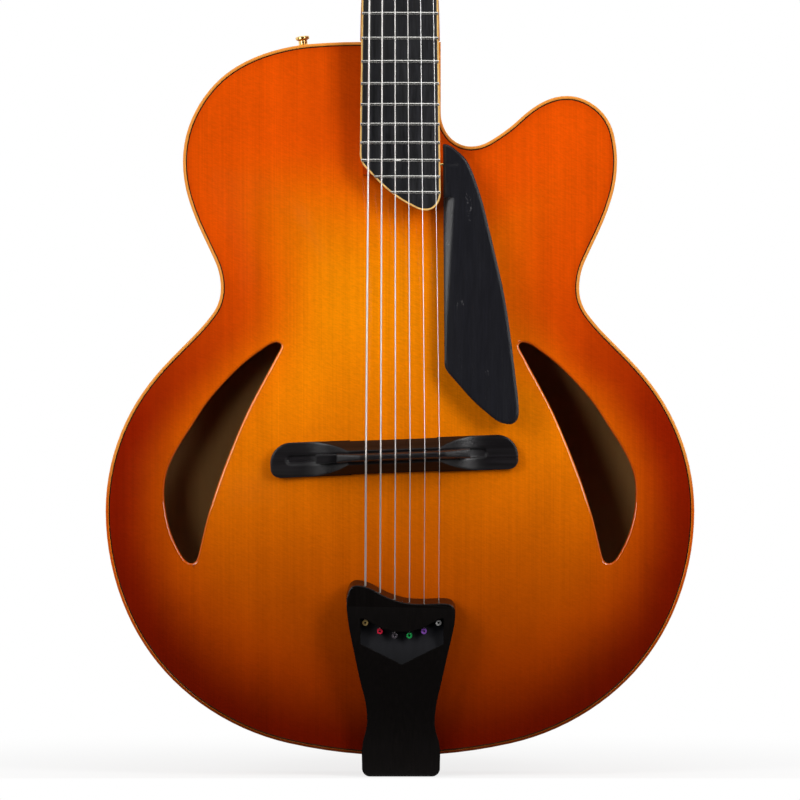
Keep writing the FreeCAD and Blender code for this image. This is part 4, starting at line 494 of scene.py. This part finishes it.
# The neck takes the top's sunburst where it stands in front of the top, under the fingerboard's end;
# lacking the edge attribute it gets the burst's dark red, painted shade that makes it read as the top in
# shadow
dress_faces("neck", SPRUCE, before_top)
# The steep sides of the bridge are duller than its wings, and browner: a painted reflection of the amber
# top
dress_faces("bridge_base", EBONY_FLANK_PAINTED_REFLECTION, steep)

# The carved top as a fine skin, with eased soundhole edges
TOP_ARCH = -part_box("top_plate")[0][1]  # how far its middle stands before its edge
EDGE_FLAT = 3.0 * MM  # width of the flat rim, before the arch starts
OUTLINE_STEP = 2.6 * MM  # between the outline's points, from which distances are taken
BORDER_STEP = 2.5 * MM  # between the points of the skin's outer rim
GRID_STEP = 4.2 * MM  # between the points inside that rim
RIM_GAP = 0.55 * GRID_STEP  # least distance of a grid point from a rim
LEAST_HEIGHT = 0.1 * MM  # thinner triangles are left out
HOLE_STEP = 1.2 * MM  # between the points of a soundhole's edge
HOLE_SMOOTHING = 3  # rounds of smoothing of that edge
HOLE_EASE = 1.5 * MM  # radius of the eased edge
HOLE_DEPTH = 5.6 * MM  # from the front to the lower end of a soundhole's wall
HOLE_REACH = 175 * MM  # soundholes end nearer to the middle, the outline's wall doesn't
LEAST_COUNT = 8  # a soundhole's wall has more faces, and its rims have more points
EASE_TURNS = (0.0, 0.25, 0.5, 0.75, 1.0)  # rows of the eased edge, as shares of a quarter turn
CAD_WELD = 1e-6  # points nearer than this become one: in a CAD mesh,
SKIN_WELD = 2e-5  # in the skin,
NET_WELD = 1e-7  # and in its flat net
LEAST_SQUARE = 1e-12  # of a distance, so that nothing is divided by zero
BATCH = 2000  # points whose distances are worked out at one time


def welded(name):
    """A copy of a node's mesh with its faces joined."""
    made = bmesh.new()
    made.from_mesh(NODES[name].data)
    bmesh.ops.remove_doubles(made, verts=made.verts, dist=CAD_WELD)
    made.normal_update()
    return made


def rim_loops(faces):
    """Closed loops of points round a patch of faces."""
    patch = set(faces)
    follow = {}
    for face in faces:
        for loop in face.loops:
            if sum(other in patch for other in loop.edge.link_faces) == 1:
                follow[loop.vert] = loop.link_loop_next.vert
    loops = []
    while follow:
        first, spot = follow.popitem()
        points = [first.co.copy()]
        while spot is not first:
            points.append(spot.co.copy())
            spot = follow.pop(spot)
        loops.append(np.array(points))
    return loops


def length_of(loop):
    return float(np.linalg.norm(np.roll(loop, -1, 0) - loop, axis=1).sum())


def even_loop(loop, step, smoothing=0):
    """The loop's x and z at even steps, smoothed a few times over."""
    flat = loop[:, [0, 2]]
    ring = np.vstack([flat, flat[:1]])
    run = np.concatenate([[0.0], np.cumsum(np.linalg.norm(np.diff(ring, axis=0), axis=1))])
    marks = np.linspace(0.0, run[-1], int(run[-1] / step), endpoint=False)
    points = np.stack([np.interp(marks, run, ring[:, k]) for k in (0, 1)], axis=1)
    for _ in range(smoothing):
        points = (np.roll(points, 1, 0) + 2 * points + np.roll(points, -1, 0)) / 4
    return points


def front_loops(name):
    """The rims of a strip's front face."""
    made = welded(name)
    loops = rim_loops([face for face in made.faces if face.normal.y < STRIP_FRONT_Y])
    made.free()
    return loops


def hole_loops():
    """The front edges of the two soundholes."""
    made = welded("top_plate")
    walls = dict.fromkeys(face for face in made.faces if abs(face.normal.y) < HOLE_WALL_Y)
    holes = []
    while walls:
        grown = [walls.popitem()[0]]
        for face in grown:
            for edge in face.edges:
                for other in edge.link_faces:
                    if other in walls:
                        del walls[other]
                        grown.append(other)
        widest = max(abs(vert.co.x) for face in grown for vert in face.verts)
        if widest < HOLE_REACH and len(grown) > LEAST_COUNT:
            loops = [loop for loop in rim_loops(grown) if len(loop) > LEAST_COUNT]
            holes.append(min(loops, key=lambda loop: loop[:, 1].mean()))
    made.free()
    return holes


def inside(points, loop):
    """Which points lie inside a closed loop."""
    result = np.zeros(len(points), bool)
    for (x0, z0), (x1, z1) in zip(loop, np.roll(loop, -1, 0)):
        spans = (z0 > points[:, 1]) != (z1 > points[:, 1])
        if spans.any() and z1 != z0:
            cross = x0 + (points[:, 1] - z0) * (x1 - x0) / (z1 - z0)
            result ^= spans & (points[:, 0] < cross)
    return result


def on_plate(points, border, holes):
    """Which points lie inside the border and outside the soundholes."""
    result = inside(points, border)
    for loop in holes:
        result &= ~inside(points, loop)
    return result


def heights(triangles):
    """The least height of each flat triangle."""
    a, b, c = triangles[:, 0], triangles[:, 1], triangles[:, 2]
    area = np.abs((b - a)[:, 0] * (c - a)[:, 1] - (b - a)[:, 1] * (c - a)[:, 0])
    longest = np.max([np.linalg.norm(p - q, axis=1) for p, q in ((a, b), (b, c), (c, a))], axis=0)
    return area / longest


def outward(loop):
    """Unit directions away from the inside of a loop."""
    ahead = np.roll(loop, -1, 0) - np.roll(loop, 1, 0)
    side = np.stack([ahead[:, 1], -ahead[:, 0]], axis=1)
    side /= np.linalg.norm(side, axis=1)[:, None]
    area = (loop[:, 0] * np.roll(loop[:, 1], -1) - np.roll(loop[:, 0], -1) * loop[:, 1]).sum()
    return side if area > 0 else -side


class Arch:
    """Height of the carved top: flat at the edge, hollow, then full in the middle."""

    def __init__(self, outline):
        self.rim = even_loop(outline, OUTLINE_STEP)
        self.step = length_of(self.rim) / len(self.rim)
        self.deepest = 1.0  # the greatest soft distance, set when the plate's points are known

    def distances(self, points):
        """A soft distance from the outline, true beside a straight edge, and the nearest one."""
        soft = np.empty(len(points))
        near = np.empty(len(points))
        for start in range(0, len(points), BATCH):
            part = slice(start, start + BATCH)
            gap = ((points[part, None, :] - self.rim[None]) ** 2).sum(2)
            pull = (1 / np.maximum(gap, LEAST_SQUARE) ** 2).sum(1) * self.step
            soft[part] = (pull / (math.pi / 2)) ** (-1 / 3)
            near[part] = np.sqrt(gap.min(1))
        return soft, near

    def level(self, soft):
        """The place in y at a soft distance, an S curve from the flat edge to the middle."""
        share = np.clip((soft - EDGE_FLAT) / (self.deepest - EDGE_FLAT), 0.0, 1.0)
        return -TOP_ARCH * share * share * (3 - 2 * share)


def lifted(flat, level):
    """Points in x and z, set at their place in y."""
    return np.stack([flat[:, 0], level, flat[:, 1]], axis=1)


def grid_points(border, holes):
    """A grid over the plate that keeps a little off its rims."""
    xs = np.arange(border[:, 0].min(), border[:, 0].max(), GRID_STEP)
    zs = np.arange(border[:, 1].min(), border[:, 1].max(), GRID_STEP)
    grid = np.stack(np.meshgrid(xs, zs), axis=-1).reshape(-1, 2)
    grid = grid[on_plate(grid, border, holes)]
    rims = np.vstack([border] + holes)
    clear = [((rims - point) ** 2).sum(1).min() > RIM_GAP ** 2 for point in grid]
    return grid[np.array(clear)]


def ring_links(loops):
    """Links from point to point round each of the loops, which follow one another."""
    links = []
    start = 0
    for loop in loops:
        count = len(loop)
        links += [(start + k, start + (k + 1) % count) for k in range(count)]
        start += count
    return links


def plate_net(border, holes):
    """Flat points and triangles that fill the plate between its border and the soundholes."""
    rims = [border] + holes
    points = [Vector(point) for point in np.vstack(rims + [grid_points(border, holes)])]
    flat, _, faces, _, _, _ = delaunay_2d_cdt(points, ring_links(rims), [], 0, NET_WELD)
    flat = np.array(flat)
    faces = np.array(faces)
    keep = on_plate(flat[faces].mean(1), border, holes) & (heights(flat[faces]) > LEAST_HEIGHT)
    return flat, faces[keep]


def hole_wall(arch, loop, first):
    """Rows of points round a soundhole's eased edge and down its wall, and the faces between them."""
    soft, near = arch.distances(loop)
    level = arch.level(soft)
    side = outward(loop)
    rows = []
    for turn in EASE_TURNS:
        angle = turn * math.pi / 2
        spread = side * HOLE_EASE * (1 - math.sin(angle))
        rows.append(lifted(loop + spread, level + HOLE_EASE * (1 - math.cos(angle))))
    rows.append(lifted(loop, level + HOLE_DEPTH))
    count = len(loop)
    faces = []
    for row in range(len(rows) - 1):
        low = first + row * count
        for k in range(count):
            n = (k + 1) % count
            faces.append((low + k, low + n, low + count + n, low + count + k))
    return np.vstack(rows), faces, np.tile(near, len(rows))


def join_and_smooth(mesh):
    """Joins the plate to its soundhole walls, smooths it and turns its outside to the front."""
    joined = bmesh.new()
    joined.from_mesh(mesh)
    bmesh.ops.remove_doubles(joined, verts=joined.verts, dist=SKIN_WELD)
    for face in joined.faces:
        face.smooth = True
    bmesh.ops.recalc_face_normals(joined, faces=joined.faces)
    joined.normal_update()
    if sum(face.normal.y * face.calc_area() for face in joined.faces) > 0:
        bmesh.ops.reverse_faces(joined, faces=joined.faces)
    joined.to_mesh(mesh)
    joined.free()


def make_top_skin():
    """The front of the top plate, each point knowing its distance from the outline."""
    arch = Arch(max(front_loops("top_binding"), key=length_of))
    border = even_loop(min(front_loops("top_purfling"), key=length_of), BORDER_STEP)
    holes = [even_loop(loop, HOLE_STEP, HOLE_SMOOTHING) for loop in hole_loops()]
    flat, triangles = plate_net(border, [loop + outward(loop) * HOLE_EASE for loop in holes])
    soft, near = arch.distances(flat)
    arch.deepest = soft.max()
    points = lifted(flat, arch.level(soft))
    faces = triangles.tolist()
    for loop in holes:
        wall_points, wall_faces, wall_near = hole_wall(arch, loop, len(points))
        points = np.vstack([points, wall_points])
        faces += wall_faces
        near = np.concatenate([near, wall_near])
    mesh = bpy.data.meshes.new("top_skin")
    mesh.from_pydata(points.tolist(), [], faces)
    edge = mesh.attributes.new("edge", "FLOAT", "POINT")
    edge.data.foreach_set("value", near.astype(np.float32))
    join_and_smooth(mesh)
    mesh.materials.append(SPRUCE)
    skin = bpy.data.objects.new("top_skin", mesh)
    bpy.context.collection.objects.link(skin)
    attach(skin, ROOT)
    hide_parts("top_plate")


make_top_skin()

# Stage: floor, background, light and camera
FLOOR_SIDE = 1.2
FLOOR_FRONT = -35 * MM
FLOOR_BACK = 1.6
PAPER_DARK = (0.80, 0.80, 0.80)
PAPER_PALE = (0.83, 0.83, 0.82)
ROOM_TINT = (1.0, 0.985, 0.97, 1.0)
LIGHT_AIM = Vector((0.0, 0.0, up(300)))
LENS = 325.0
SENSOR = 36.0
VIEW_END = 50.0
CAMERA_PLACE = (0.0, -5.0, up(246.2))


def floor_paper():
    """Paper that keeps some shadow by the tail and runs out to plain white."""
    look = Look("floor_paper")
    paper = look.mix(look.noise(look.place, 40.0), PAPER_DARK, PAPER_PALE)
    matt = look.node("ShaderNodeBsdfDiffuse", {"Color": paper}).outputs[0]
    white = look.node("ShaderNodeEmission", {"Color": WHITE, "Strength": 1.0}).outputs[0]
    level = look.stretched(1.0, 1.0, 0.0)
    far = look.node("ShaderNodeVectorMath", {0: level}, operation="LENGTH").outputs["Value"]
    before = look.span(look.axes(look.place)[1], -50 * MM, 50 * MM, 1.0, 0.0, smooth=True)
    fade = look.math("MAXIMUM", before, look.span(far, 100 * MM, 700 * MM, 0.78, 1.0, smooth=True))
    path = look.node("ShaderNodeLightPath").outputs
    seen = look.math("MAXIMUM", path["Is Camera Ray"], path["Is Glossy Ray"])
    share = look.math("MULTIPLY", fade, seen)
    shader = look.node("ShaderNodeMixShader", {0: share, 1: matt, 2: white}).outputs[0]
    look.node("ShaderNodeOutputMaterial", {"Surface": shader})
    return look.material


def make_floor():
    """A pale floor under the tail."""
    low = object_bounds()[0][2]
    corners = [(-FLOOR_SIDE, FLOOR_FRONT, low), (FLOOR_SIDE, FLOOR_FRONT, low),
               (FLOOR_SIDE, FLOOR_BACK, low), (-FLOOR_SIDE, FLOOR_BACK, low)]
    mesh = bpy.data.meshes.new("floor")
    mesh.from_pydata(corners, [], [(0, 1, 2, 3)])
    mesh.materials.append(floor_paper())
    floor = bpy.data.objects.new("floor", mesh)
    bpy.context.collection.objects.link(floor)


def make_world():
    """White behind the object; its light and reflections come from a room that is dark in front."""
    look = Look("studio", bpy.data.worlds, "Generated")
    bpy.context.scene.world = look.material
    _, ahead, above = look.axes(look.place)
    front = look.span(ahead, -0.88, -0.50, 0.02, 1.0, smooth=True)
    strength = look.math("MULTIPLY", front, look.span(above, -0.6, 1.0, 0.10, 0.60))
    room = look.node("ShaderNodeBackground", {"Color": ROOM_TINT, "Strength": strength}).outputs[0]
    white = look.node("ShaderNodeBackground", {"Color": WHITE, "Strength": 1.0}).outputs[0]
    path = look.node("ShaderNodeLightPath").outputs
    mirrored = look.math("MULTIPLY", path["Is Glossy Ray"], look.span(ahead, -0.45, 0.05, smooth=True))
    seen = look.math("MAXIMUM", path["Is Camera Ray"], mirrored)
    shader = look.node("ShaderNodeMixShader", {0: seen, 1: room, 2: white}).outputs[0]
    look.node("ShaderNodeOutputWorld", {"Surface": shader})


def softbox(name, place, width, height, power, mirrored=True):
    """A lit rectangle that looks at the middle of the body."""
    lamp = bpy.data.lights.new(name, "AREA")
    lamp.shape = "RECTANGLE"
    lamp.size = width
    lamp.size_y = height
    lamp.energy = power
    item = bpy.data.objects.new(name, lamp)
    item.location = place
    item.rotation_euler = (LIGHT_AIM - Vector(place)).to_track_quat("-Z", "Y").to_euler()
    item.visible_glossy = mirrored
    bpy.context.collection.objects.link(item)


def make_lights():
    """Tall boxes to the left and right, one overhead, and a small one that the finishes don't mirror."""
    softbox("left_box", (-1.12, -1.28, up(920)), width=0.55, height=1.20, power=17.5)
    softbox("right_box", (1.12, -1.28, up(920)), width=0.55, height=1.20, power=21.5)
    softbox("overhead", (0.20, -0.80, up(1900)), width=0.90, height=0.45, power=4.0)
    softbox("small_head", (-0.72, -2.40, up(300)), width=0.42, height=0.32, power=6.2, mirrored=False)


def make_camera():
    """Long lens, level with the middle of the photographed part."""
    camera = bpy.data.cameras.new("camera")
    camera.lens = LENS
    camera.sensor_width = SENSOR
    camera.clip_end = VIEW_END
    item = bpy.data.objects.new("camera", camera)
    item.location = CAMERA_PLACE
    item.rotation_euler = (math.radians(90), 0.0, 0.0)
    bpy.context.collection.objects.link(item)
    bpy.context.scene.camera = item


make_floor()
make_world()
make_lights()
make_camera()
bpy.context.scene.view_settings.view_transform = "Standard"
